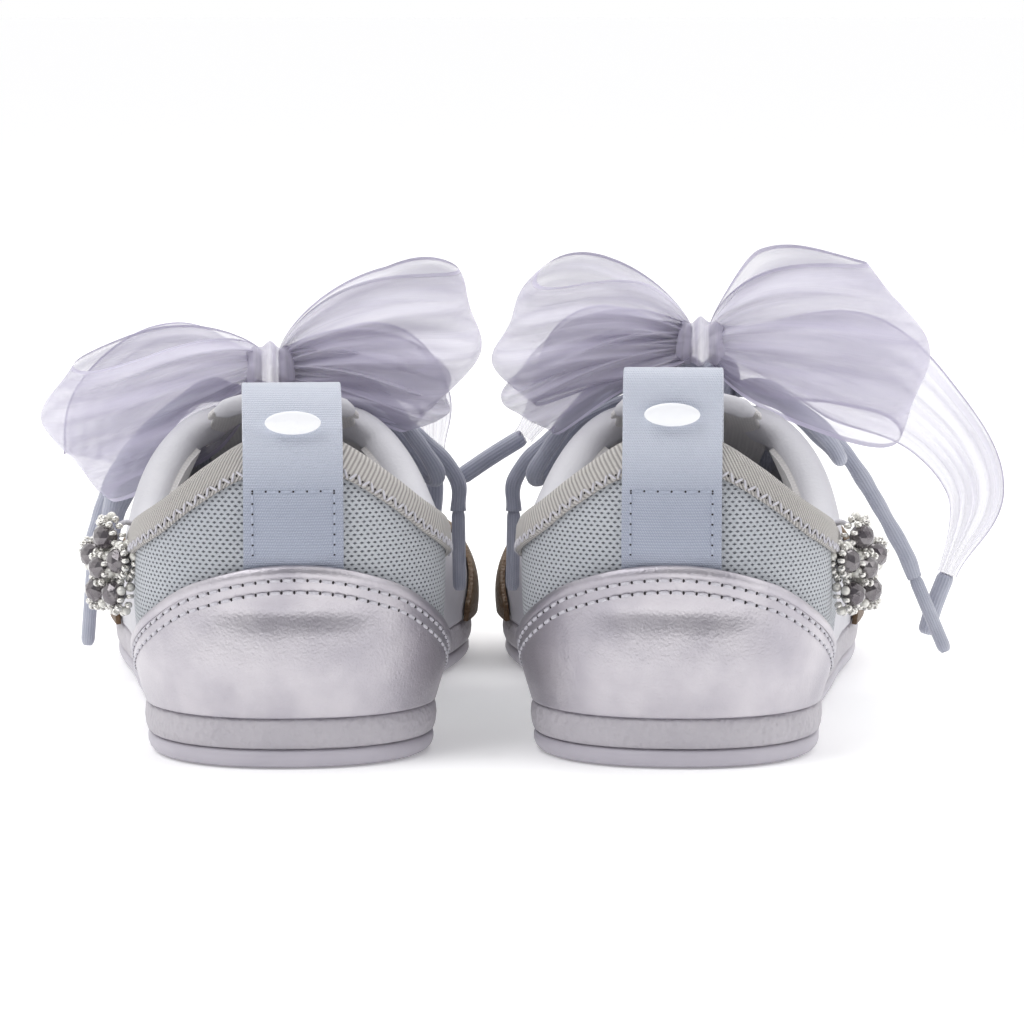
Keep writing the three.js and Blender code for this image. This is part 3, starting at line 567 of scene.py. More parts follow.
@dataclass(frozen=True)
class Last:
    """The form that the upper lies on.

    A place on it is (w, a). w runs round the shoe: 0 heel back, 1 heel side, 2 ball, 3 toe tip,
    positive on the outer side. a climbs from 0 at the sole to RIDGE along the top.
    """

    gap: float = 0.3
    sole_length: float = 252
    heel_width: float = 66
    ball_width: float = 92
    outsole: float = 4.3
    midsole: float = 6.8
    toe_spring: float = 4
    collar_back: float = 74
    collar_dip: float = 49
    collar_front: float = 71
    instep_height: float = 76.5
    vamp_height: float = 47
    throat_half: float = 15
    quarter_bulge: float = 5.2
    mesh: float = 1.4
    heel_squareness: float = 2.25
    toe_squareness: float = 2.15
    heel_spacing: float = 88.4
    toe_out: float = math.radians(4)

    def __post_init__(self) -> None:
        """Works out the places and curves that follow from the sizes."""

        def put(name: str, value: object) -> None:
            """Sets one field of this frozen form."""
            object.__setattr__(self, name, value)

        length = self.sole_length
        put("heel_y", 0.135 * length)
        put("ball_y", 0.714 * length)
        put("collar_y", 0.42 * length)
        put("throat_y", 0.675 * length)
        put("feather", self.outsole + self.midsole + 2 * self.gap)
        heel, ball, collar = self.heel_y, self.ball_y, self.collar_y
        half_heel, half_ball = self.heel_width / 2, self.ball_width / 2
        middle = 0.5 * (self.instep_height + self.vamp_height) - 1
        put("half_width", Course((
            (heel, half_heel), (0.33 * length, half_heel - 1),
            (0.52 * length, (half_heel + half_ball) / 2 - 1), (ball, half_ball),
        )))
        put("sole_centre", Course(((heel, 0), (0.38 * length, 1), (ball, -4))))
        put("ridge_centre", Course(((heel, 0), (collar, 0), (ball, -4))))
        put("ridge_height", Course((
            (heel, self.collar_back + 31), (0.3 * length, self.collar_back + 18),
            (collar, self.instep_height), (0.56 * length, middle), (ball, self.vamp_height),
        )))
        put("fullness", Course(((heel, 2.5), (collar, 2.15), (ball, 2.2))))
        full = self.quarter_bulge
        put("bulge", Course(((heel, 0.75 * full), (0.24 * length, full), (ball, 1.5))))
        put("collar_w", self.side_at(collar))
        put("throat_w", self.side_at(self.throat_y))
        rise = self.collar_back - self.collar_dip
        lowest = self.side_at(0.235 * length)
        fall = ((0, 1), (0.19, 0.92), (0.39, 0.68), (0.64, 0.36), (1, 0.09), (lowest, 0))
        heights = [(w, self.collar_dip + share * rise) for w, share in fall]
        put("collar", Course((*heights, (self.collar_w, self.collar_front))))

    @property
    def bow_y(self) -> float:
        """How far from the heel the bow is tied."""
        return 0.43 * self.sole_length

    def lace_rows(self) -> Array:
        """How far from the heel each row of eyelets is."""
        return np.linspace(self.throat_y - 12, self.bow_y + 3, 4)

    def side_at(self, y: float) -> float:
        """The place round the shoe of a distance from the heel, on the outer side."""
        return 1 + (y - self.heel_y) / (self.ball_y - self.heel_y)

    def toe_lift(self, y: Array) -> Array:
        """How far the sole is off the floor at a distance from the heel."""
        reach = (y - self.ball_y) / (self.sole_length - self.ball_y)
        return self.toe_spring * np.maximum(0, reach) ** 2

    def outline(self, w: Array) -> tuple[Array, Array]:
        """The sole's edge and the ridge's point that belong to w.

        Args:
            w: Places round the shoe. One from 3 to 6 comes back from the toe along the inner side.

        Returns:
            The edge's points and the ridge's, in plan.
        """

        def power(value: Array, n: float) -> Array:
            """One term of a superellipse."""
            return np.maximum(0, value) ** (2 / n)

        w = np.asarray(w, float)
        w = np.where(w > 3, w - 6, w)
        side, s = np.where(w < 0, -1.0, 1.0), np.abs(w)
        at_heel, at_toe = np.clip(s, 0, 1) * RIDGE, np.clip(s - 2, 0, 1) * RIDGE
        y_side = self.heel_y + (np.clip(s, 1, 2) - 1) * (self.ball_y - self.heel_y)
        x = np.select(
            [s <= 1, s <= 2],
            [
                side * self.half_width(self.heel_y) * power(np.sin(at_heel), self.heel_squareness),
                self.sole_centre(y_side) + side * self.half_width(y_side),
            ],
            self.sole_centre(self.ball_y)
            + side * self.half_width(self.ball_y) * power(np.cos(at_toe), self.toe_squareness),
        )
        y = np.select(
            [s <= 1, s <= 2],
            [self.heel_y * (1 - power(np.cos(at_heel), self.heel_squareness)), y_side],
            self.ball_y + (self.sole_length - self.ball_y) * power(np.sin(at_toe), self.toe_squareness),
        )
        ridge = np.stack([self.ridge_centre(y_side), y_side], axis=-1)
        return np.stack([x, y], axis=-1), ridge

    def point(self, w: Array, a: Array) -> Array:
        """The last's point at (w, a).

        Args:
            w: Places round the shoe.
            a: Angles up it.

        Returns:
            The points, in millimetres.
        """
        edge, ridge = self.outline(w)
        n = self.fullness(ridge[..., 1])
        reach, rise = np.maximum(0, np.cos(a)) ** (2 / n), np.maximum(0, np.sin(a)) ** (2 / n)
        out = edge - ridge
        unit = out / np.maximum(np.linalg.norm(out, axis=-1, keepdims=True), 1e-9)
        swell = self.bulge(ridge[..., 1]) * np.sin(np.pi * np.minimum(1, rise)) * reach
        plan = ridge + out * reach[..., None] + unit * swell[..., None]
        z = self.feather + (self.ridge_height(ridge[..., 1]) - self.feather) * rise
        return np.concatenate([plan, (z + self.toe_lift(plan[..., 1]))[..., None]], axis=-1)

    def normal(self, w: Array, a: Array) -> Array:
        """The outward normal at (w, a). On the ridge both sides share one.

        Args:
            w: Places round the shoe.
            a: Angles up it.

        Returns:
            The normals, each one long.
        """
        w, a = np.broadcast_arrays(np.asarray(w, float), np.asarray(a, float))
        step = 1e-3
        along = self.point(w + step, a) - self.point(w - step, a)
        up = self.point(w, np.minimum(a + step, RIDGE)) - self.point(w, np.maximum(a - step, 0))
        cross = np.cross(along, up)
        y = self.outline(w)[1][..., 1]
        slope = (self.ridge_height(y + step) - self.ridge_height(y - step)) / (2 * step)
        top = np.stack([np.zeros_like(slope), -slope, np.ones_like(slope)], axis=-1)
        cross = np.where((a > RIDGE - 1e-6)[..., None], top, cross)
        return cross / np.maximum(np.linalg.norm(cross, axis=-1, keepdims=True), 1e-12)

    def off(self, w: Array, a: Array, distance: Array | float) -> Array:
        """A point that far off the last, outwards."""
        w, a = np.broadcast_arrays(np.asarray(w, float), np.asarray(a, float))
        distance = np.broadcast_to(np.asarray(distance, float), w.shape)
        return self.point(w, a) + self.normal(w, a) * distance[..., None]

    def climb(self, w: Array, z: Array | float) -> Array:
        """The angle up the last at which it reaches height z."""
        y = self.outline(w)[1][..., 1]
        share = (z - self.feather) / (self.ridge_height(y) - self.feather)
        return np.arcsin(np.clip(share, 0, 1) ** (self.fullness(y) / 2))

    def climb_to_half(self, w: Array, half: Array | float) -> Array:
        """The angle up the last at which it is that far from the ridge, in plan."""
        edge, ridge = self.outline(w)
        share = np.clip(half / np.linalg.norm(edge - ridge, axis=-1), 0, 1)
        return np.arccos(share ** (self.fullness(ridge[..., 1]) / 2))

    def collar_height(self, w: Array) -> Array:
        """The height of the collar's edge round the shoe."""
        return self.collar(np.abs(w))

    def top_edge(self, w: Array) -> Array:
        """The top edge of the upper: the collar, then the lace stays, then the closed ridge.

        Args:
            w: Places round the shoe.

        Returns:
            The angle of the edge at each.
        """
        w = np.asarray(w, float)
        s = np.abs(np.where(w > 3, w - 6, w))
        y = self.outline(w)[0][..., 1]
        past = np.maximum(0, (y - self.throat_y + self.throat_half) / self.throat_half)
        half = self.throat_half * np.sqrt(np.maximum(0, 1 - past**2))
        stays = self.climb_to_half(w, half)
        collar = self.climb(w, self.collar_height(s))
        return np.select([s < self.collar_w, s < self.throat_w], [collar, stays], RIDGE)

    def place(self, side: Side, points: Array) -> Array:
        """Moves points from a shoe's own frame to the pair's, in metres.

        Args:
            side: Which shoe.
            points: Points in its own millimetres.

        Returns:
            The points in metres.
        """
        sign = side.value
        x, y, z = (points[..., i] for i in range(3))
        x, y = sign * x, y - self.heel_y
        turn = -sign * self.toe_out
        cos, sin = math.cos(turn), math.sin(turn)
        axes = [
            cos * x - sin * y + sign * self.heel_spacing / 2,
            sin * x + cos * y + self.heel_y - self.sole_length / 2,
            z,
        ]
        return np.stack(axes, axis=-1) * MM


LAST = Last()


# ---- Making meshes --------------------------------------------------------------------------------
def deselect() -> None:
    """Leaves nothing selected."""
    bpy.ops.object.select_all(action="DESELECT")


def choose(piece: bpy.types.Object) -> None:
    """Selects one piece alone and makes it the active one."""
    deselect()
    piece.select_set(True)
    bpy.context.view_layer.objects.active = piece


def distances(path: Array) -> Array:
    """How far along a path each of its points lies."""
    return np.concatenate([[0], np.cumsum(np.linalg.norm(np.diff(path, axis=0), axis=1))])


def mean_distances(points: Array) -> Array:
    """How far along a surface each of its rows lies, on the average of its columns."""
    return np.concatenate([[0], np.cumsum(np.linalg.norm(np.diff(points, axis=0), axis=-1).mean(axis=1))])


def cloth_map(along: Array, across: Array) -> Array:
    """A map that holds the distance along the rows and across them."""
    return np.stack(np.meshgrid(along, across, indexing="ij"), axis=-1)


def normalised(vectors: Array) -> Array:
    """Each row of vectors made one long."""
    return vectors / np.linalg.norm(vectors, axis=1, keepdims=True)


def placed(centres: Array, *axes: Array) -> Array:
    """3 by 4 matrices from centres in metres and three axes in millimetres."""
    return np.concatenate([np.stack(axes, axis=-1) * MM, centres[..., None]], axis=-1)


def tidy_edges(piece: bpy.types.Object, distance: float, close: bool) -> None:
    """Merges doubled points and, where asked, closes open ends and turns every face outwards.

    Args:
        piece: The mesh to clean.
        distance: Points closer than this are one, in metres.
        close: Whether holes are filled.
    """
    choose(piece)
    bpy.ops.object.mode_set(mode="EDIT")
    bpy.ops.mesh.select_all(action="SELECT")
    bpy.ops.mesh.remove_doubles(threshold=distance)
    if close:
        bpy.ops.mesh.fill_holes(sides=0)
        bpy.ops.mesh.select_all(action="SELECT")
        bpy.ops.mesh.normals_make_consistent(inside=False)
    bpy.ops.object.mode_set(mode="OBJECT")


def woven(
    name: str, points: Array, uv: Array | None = None, flip: bool = False, merge: bool = True
) -> bpy.types.Object:
    """A grid primitive whose points are moved onto a surface.

    Args:
        name: The piece's name.
        points: Points in metres, shaped (rows, columns, 3).
        uv: Its map, shaped (rows, columns, 2), or none to measure it along the surface in millimetres.
        flip: Whether the faces are turned over.
        merge: Whether doubled points are merged.

    Returns:
        The piece, an open surface.
    """
    rows, columns = points.shape[:2]
    if uv is None:
        along = np.linalg.norm(np.diff(points, axis=0), axis=-1).mean(axis=1)
        up = np.linalg.norm(np.diff(points, axis=1), axis=-1).mean(axis=0)
        u, v = (np.concatenate([[0], np.cumsum(d)]) / MM for d in (along, up))
        uv = cloth_map(u, v)
    deselect()
    bpy.ops.mesh.primitive_grid_add(x_subdivisions=rows - 1, y_subdivisions=columns - 1, size=2)
    piece = bpy.context.object
    piece.name = piece.data.name = name
    mesh = piece.data
    mesh.vertices.foreach_set("co", points.transpose(1, 0, 2).reshape(-1).astype(np.float32))
    corner = np.empty(len(mesh.loops), np.int32)
    mesh.loops.foreach_get("vertex_index", corner)
    flat = uv.transpose(1, 0, 2).reshape(-1, 2)[corner].astype(np.float32)
    mesh.uv_layers.active.data.foreach_set("uv", flat.reshape(-1))
    if flip:
        mesh.flip_normals()
    mesh.update()
    if merge:
        tidy_edges(piece, SAME_POINT, False)
    return piece


def swept(name: str, rings: Array, uv: Array | None = None) -> bpy.types.Object:
    """A closed solid through a row of closed rings, with its two ends closed.

    Args:
        name: The piece's name.
        rings: Points in metres, shaped (rings, points round each, 3).
        uv: Its map, with the first column repeated at the end, or none.

    Returns:
        The piece.
    """
    round_trip = np.concatenate([rings, rings[:, :1]], axis=1)
    piece = woven(name, round_trip, uv, merge=False)
    tidy_edges(piece, SAME_POINT, True)
    return piece


def refine(piece: bpy.types.Object, *modifiers: tuple[str, dict]) -> bpy.types.Object:
    """Adds modifiers and applies each in turn.

    Args:
        piece: The piece.
        *modifiers: Pairs of a modifier type and its settings.

    Returns:
        The same piece.
    """
    choose(piece)
    for kind, settings in modifiers:
        modifier = piece.modifiers.new(kind.title(), kind)
        for key, value in settings.items():
            setattr(modifier, key, value)
        bpy.ops.object.modifier_apply(modifier=modifier.name)
    return piece


def softened(rounding: float) -> tuple[str, dict]:
    """A bevel for the rims of a wall, so many millimetres wide."""
    where = {"limit_method": "ANGLE", "angle_limit": BEVEL_FROM}
    return "BEVEL", {"width": rounding * MM, "segments": 2, **where}


def walled(piece: bpy.types.Object, thick: float, rounding: float = 0.35) -> bpy.types.Object:
    """Gives an open surface a wall inwards and softens its rims.

    Args:
        piece: The surface.
        thick: The wall, in millimetres.
        rounding: The rims' bevel, in millimetres.

    Returns:
        The same piece.
    """
    return refine(
        piece,
        ("SOLIDIFY", {"thickness": thick * MM, "offset": -1}),
        softened(rounding),
    )


def catmull(points: Sequence[Sequence[float]], count: int) -> Array:
    """Evenly spaced points on a smooth curve.

    Args:
        points: The points that it goes through.
        count: How many points to give.

    Returns:
        The points, shaped (count, 3).
    """
    p = np.array(points, float)
    p = np.vstack([2 * p[0] - p[1], p, 2 * p[-1] - p[-2]])
    t = np.linspace(0, 1, 40, endpoint=False)[:, None]
    parts = []
    for a, b, c, d in zip(p, p[1:], p[2:], p[3:]):
        m, n = (c - a) / 2, (d - b) / 2
        parts.append(
            b * (2 * t**3 - 3 * t**2 + 1) + c * (3 * t**2 - 2 * t**3)
            + m * (t**3 - 2 * t**2 + t) + n * (t**3 - t**2)
        )
    curve = np.vstack([*parts, p[-2:-1]])
    run = distances(curve)
    even = np.linspace(0, run[-1], count)
    return np.stack([np.interp(even, run, curve[:, i]) for i in range(3)], axis=-1)


def directions(path: Array, hint: Sequence[float] = (0, 1, 0)) -> tuple[Array, Array, Array]:
    """The tangent of a path and two directions across it, carried along without twist.

    Args:
        path: The path's points.
        hint: A direction near the first one across.

    Returns:
        The tangent and the two directions across, at each point.
    """
    tangent = np.gradient(path, axis=0)
    tangent = normalised(tangent)
    first = np.empty_like(path)
    previous = np.array(hint, float)
    for i, t in enumerate(tangent):
        previous = previous - t * previous.dot(t)
        previous /= np.linalg.norm(previous)
        first[i] = previous
    return tangent, first, np.cross(tangent, first)


def tube_rings(
    path: Array, wide: Array | float, deep: Array | float, count: int, hint: Sequence[float] = (0, 1, 0)
) -> Array:
    """Oval rings round a path, in the path's own units.

    Args:
        path: The path's points.
        wide: Each ring's width along the first direction across.
        deep: Its width along the second.
        count: Points round each ring.
        hint: A direction near the first one across.

    Returns:
        The rings, shaped (points of the path, count, 3).
    """
    _, first, second = directions(path, hint)
    turn = np.linspace(0, 2 * np.pi, count, endpoint=False)
    wide, deep = (np.broadcast_to(np.asarray(x, float), (len(path),)) / 2 for x in (wide, deep))
    return (
        path[:, None]
        + first[:, None] * (np.cos(turn)[None, :, None] * wide[:, None, None])
        + second[:, None] * (np.sin(turn)[None, :, None] * deep[:, None, None])
    )


def scattered(name: str, shape: bpy.types.Object, frames: Array) -> bpy.types.Object:
    """Copies one small mesh many times into one piece, and removes the small mesh.

    Args:
        name: The piece's name.
        shape: The mesh to repeat.
        frames: For each copy a 3 by 4 matrix in metres.

    Returns:
        The piece.
    """
    co = np.array([v.co for v in shape.data.vertices])
    faces = [list(p.vertices) for p in shape.data.polygons]
    points = np.einsum("nij,vj->nvi", frames[:, :, :3], co) + frames[:, None, :, 3]
    mirrored = np.linalg.det(frames[:, :, :3]) < 0
    everything = []
    for k, turned in enumerate(mirrored):
        step = k * len(co)
        everything += [[i + step for i in (f[::-1] if turned else f)] for f in faces]
    mesh = bpy.data.meshes.new(name)
    mesh.from_pydata(points.reshape(-1, 3).tolist(), [], everything)
    mesh.polygons.foreach_set("use_smooth", [True] * len(mesh.polygons))
    bpy.data.objects.remove(shape)
    piece = bpy.data.objects.new(name, mesh)
    bpy.context.scene.collection.objects.link(piece)
    return piece


# ---- One shoe -------------------------------------------------------------------------------------
@dataclass
class Workshop:
    """What every sub-assembly of a shoe shares: its side, its finishes and its CAD bodies."""

    side: Side
    finishes: Finishes
    frame: dict

    def name(self, piece: str) -> str:
        """A piece's full name."""
        return f"{self.side.prefix}_{piece}"

    def world(self, points: Array) -> Array:
        """A shoe's own millimetres to the pair's metres."""
        return LAST.place(self.side, points)

    def vector(self, direction: Array) -> Array:
        """Turns a direction from the shoe's frame to the pair's."""
        return (self.world(np.asarray(direction, float)) - self.world(np.zeros(3))) / MM

    def surface(
        self, name: str, stations: Array, angles: Callable, off: float | Callable, rows: int
    ) -> bpy.types.Object:
        """An open surface on the last.

        Args:
            name: The piece's short name.
            stations: Places round the shoe.
            angles: Gives the low and high angle for the stations.
            off: Distance off the last, in millimetres, or a function of stations and share up.
            rows: Points up the surface.

        Returns:
            The piece, facing outwards.
        """
        low, high = angles(stations)
        share = np.linspace(0, 1, rows) ** ROWS_DENSER_LOW
        a = np.broadcast_to(low, stations.shape)[:, None] * (1 - share) + np.asarray(high)[:, None] * share
        w = np.broadcast_to(stations[:, None], a.shape)
        distance = off(w, np.broadcast_to(share, a.shape)) if callable(off) else off
        points = LAST.off(w, a, distance)
        along = mean_distances(points)
        steps = np.linalg.norm(np.diff(points, axis=1), axis=-1)
        up = np.concatenate([np.zeros((len(stations), 1)), np.cumsum(steps, axis=1)], axis=1)
        uv = np.stack([np.broadcast_to((along - along[-1] / 2)[:, None], up.shape), up], axis=-1)
        return woven(self.name(name), self.world(points), uv, flip=self.side is Side.LEFT)

    def band(
        self, name: str, stations: Array, edge: Callable, profile: Sequence[tuple[float, float]]
    ) -> bpy.types.Object:
        """A closed band that follows an edge.

        Args:
            name: The piece's short name.
            stations: Places round the shoe.
            edge: Gives the edge's height at the stations.
            profile: The section, as (height from the edge, distance off the last) pairs.

        Returns:
            The band.
        """
        section = np.array(profile, float)
        z = edge(stations)[:, None] + section[None, :, 0]
        w = np.broadcast_to(stations[:, None], z.shape)
        points = LAST.off(w, LAST.climb(w, z), np.broadcast_to(section[None, :, 1], z.shape))
        along = mean_distances(points)
        loop = np.vstack([section, section[:1]])
        across = distances(loop)
        uv = cloth_map(along - along[-1] / 2, across)
        return swept(self.name(name), self.world(points), uv)

    def finish(
        self,
        piece: bpy.types.Object,
        material: bpy.types.Material,
        slot: str,
        replaces: Sequence[str] = (),
        body: str | None = "shoe",
        angle: float | None = 40,
    ) -> bpy.types.Object:
        """Smooths, dresses and fastens a piece.

        Args:
            piece: The piece.
            material: Its finish.
            slot: The record's material slot; not used.
            replaces: Short names of the CAD nodes that it stands for.
            body: The short name of the body it rides, or none to leave it unattached.
            angle: Creases sharper than this, in degrees, stay sharp; none keeps the faces flat.

        Returns:
            The same piece.
        """
        choose(piece)
        if angle is not None:
            bpy.ops.object.shade_smooth_by_angle(angle=math.radians(angle))
        piece.data.materials.clear()
        piece.data.materials.append(material)
        if replaces:
            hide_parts(*(self.name(node) for node in replaces))
        if body:
            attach(piece, self.name(body))
        LOG.info("%s: %d faces, %s", piece.name, len(piece.data.polygons), material.name)
        return piece

    def stitches(
        self,
        name: str,
        path: Array,
        normals: Array,
        pitch: float,
        length: float,
        material: bpy.types.Material,
        width: float = 0.75,
        body: str = "shoe",
        slant: float = 0.0,
        shade_dots: bool = True,
    ) -> None:
        """A row of stitches, with a dark dot of painted shade for the needle puncture between each two.

        Args:
            name: The row's short name.
            path: Points along the row, in the shoe's frame.
            normals: The outward directions at them.
            pitch: Distance between stitches, in millimetres.
            length: Length of the thread that shows.
            material: The thread.
            width: Thread width.
            body: The body it rides.
            slant: Turn of each stitch on the surface, in radians, one way and then the other.
            shade_dots: Whether the dots of painted shade at the needle punctures show.
        """
        run = distances(path)
        count = max(2, int(run[-1] / pitch))

        def frames(at: Array, size: tuple[float, float, float], lift: float, lean: Array) -> Array:
            """Matrices at distances along the row, for shapes of a size, so high and turned so far.

            Args:
                at: Distances along the row.
                size: The shape's half length, half width and half height.
                lift: Its height off the surface.
                lean: Its turn on the surface, in radians.

            Returns:
                A 3 by 4 matrix for each.
            """
            centre = np.stack([np.interp(at, run, path[:, i]) for i in range(3)], axis=-1)
            ahead = np.stack([np.interp(at + 0.4, run, path[:, i]) for i in range(3)], axis=-1)
            behind = np.stack([np.interp(at - 0.4, run, path[:, i]) for i in range(3)], axis=-1)
            n = np.stack([np.interp(at, run, normals[:, i]) for i in range(3)], axis=-1)
            n = normalised(n)
            t = ahead - behind
            t -= n * (t * n).sum(axis=1, keepdims=True)
            t = normalised(t)
            s = np.cross(n, t)
            cos, sin = np.cos(lean)[:, None], np.sin(lean)[:, None]
            t, s = t * cos + s * sin, s * cos - t * sin
            axes = (self.vector(v) for v in (t * size[0], s * size[1], n * size[2]))
            return placed(self.world(centre + n * lift), *axes)

        at = (np.arange(count) + 0.5) * run[-1] / count
        lean = slant * np.where(np.arange(count) % 2, 1.0, -1.0)
        bpy.ops.mesh.primitive_uv_sphere_add(segments=8, ring_count=6, radius=1)
        bead = bpy.context.object
        bead.data.transform(bead.matrix_world)
        for v in bead.data.vertices:
            v.co.x = math.copysign(abs(v.co.x) ** 0.6, v.co.x)
        row = scattered(self.name(name), bead, frames(at, (length / 2, width / 2, width * 0.42), 0.08, lean))
        self.finish(row, material, "thread", body=body, angle=180)
        if shade_dots:
            # Painted shade: a dark flattened dot at each needle puncture.
            bpy.ops.mesh.primitive_uv_sphere_add(segments=6, ring_count=4, radius=1)
            between = np.arange(count + 1) * run[-1] / count
            size = (max(0.25, (pitch - length) / 2), width * 0.5, 0.16)
            spots = frames(between, size, 0.0, 0 * between)
            dots = scattered(self.name(name + "_holes"), bpy.context.object, spots)
            self.finish(dots, self.finishes.needle_hole, "thread", body=body, angle=180)


def on_last(w: Array, z: Array, off: float) -> tuple[Array, Array]:
    """Points off the last, and the normals there.

    Args:
        w: Places round the shoe.
        z: Their heights.
        off: Their distance off the last.

    Returns:
        The points and the normals.
    """
    a = LAST.climb(w, z)
    return LAST.off(w, a, off), LAST.normal(w, a)


@dataclass
class Sole:
    """Outsole, pebbled midsole band and insoles."""

    shop: Workshop
    outsole: tuple[tuple[float, float], ...] = (
        (0, 3.4), (0.15, 2.3), (0.6, 1.35), (1.3, 0.7), (2.3, 0.35), (3.2, 0.35), (3.9, 0.75), (4.3, 1.5),
    )
    midsole: tuple[tuple[float, float], ...] = (
        (4.3, 1.7), (4.6, 0.75), (5.0, 0.25), (6.2, -0.15), (8.0, -0.35), (9.8, -0.2), (10.7, 0.1),
        (11.1, 0.5), (11.45, 1.3),
    )
    welt: tuple[tuple[float, float], ...] = (
        (11.2, 1.2), (11.5, 0.2), (12.0, -0.25), (12.5, 0.1), (12.7, 1.2),
    )
    sockliner: tuple[tuple[float, float], ...] = ((13.6, 9.2), (15.5, 9.0), (16.8, 9.2), (17.2, 10.0))

    def slab(self, name: str, levels: Sequence[tuple[float, float]], across: int = 9) -> bpy.types.Object:
        """A closed slab with the sole's outline.

        Args:
            name: Its short name.
            levels: Height and inset of each level, upwards.
            across: Points between the two sides, top and bottom.

        Returns:
            The slab.
        """
        half = np.concatenate([np.linspace(0, 1, 26), np.linspace(1, 2, 22)[1:], np.linspace(2, 3, 30)[1:]])
        sides = []
        for sign in (1, -1):
            edge, ridge = LAST.outline(sign * half)
            inwards = normalised(ridge - edge)
            plan = np.stack([edge + inwards * inset for _, inset in levels], axis=1)
            z = np.array([z for z, _ in levels])[None, :] + LAST.toe_lift(plan[..., 1])
            sides.append(np.concatenate([plan, z[..., None]], axis=-1))
        outer, inner = sides
        share = np.linspace(0, 1, across + 2)[1:-1][None, :, None]
        top = outer[:, -1:] * (1 - share) + inner[:, -1:] * share
        bottom = inner[:, :1] * (1 - share) + outer[:, :1] * share
        rings = np.concatenate([outer, top, inner[:, ::-1], bottom], axis=1)
        return swept(self.shop.name(name), self.shop.world(rings))

    def build(self) -> None:
        """Makes and dresses the sole."""
        shop, finish = self.shop, self.shop.finishes
        shop.finish(self.slab("outsole_rubber", self.outsole), finish.outsole, "rubber_sole", ["outsole"])
        shop.finish(self.slab("midsole_band", self.midsole), finish.foam, "foam_sole", ["midsole"])
        shop.finish(self.slab("sole_welt", self.welt), finish.outsole, "rubber_sole")
        pad = self.slab("insole_pad", self.sockliner)
        shop.finish(pad, finish.insole, "insole_fabric", ["sockliner"], angle=60)


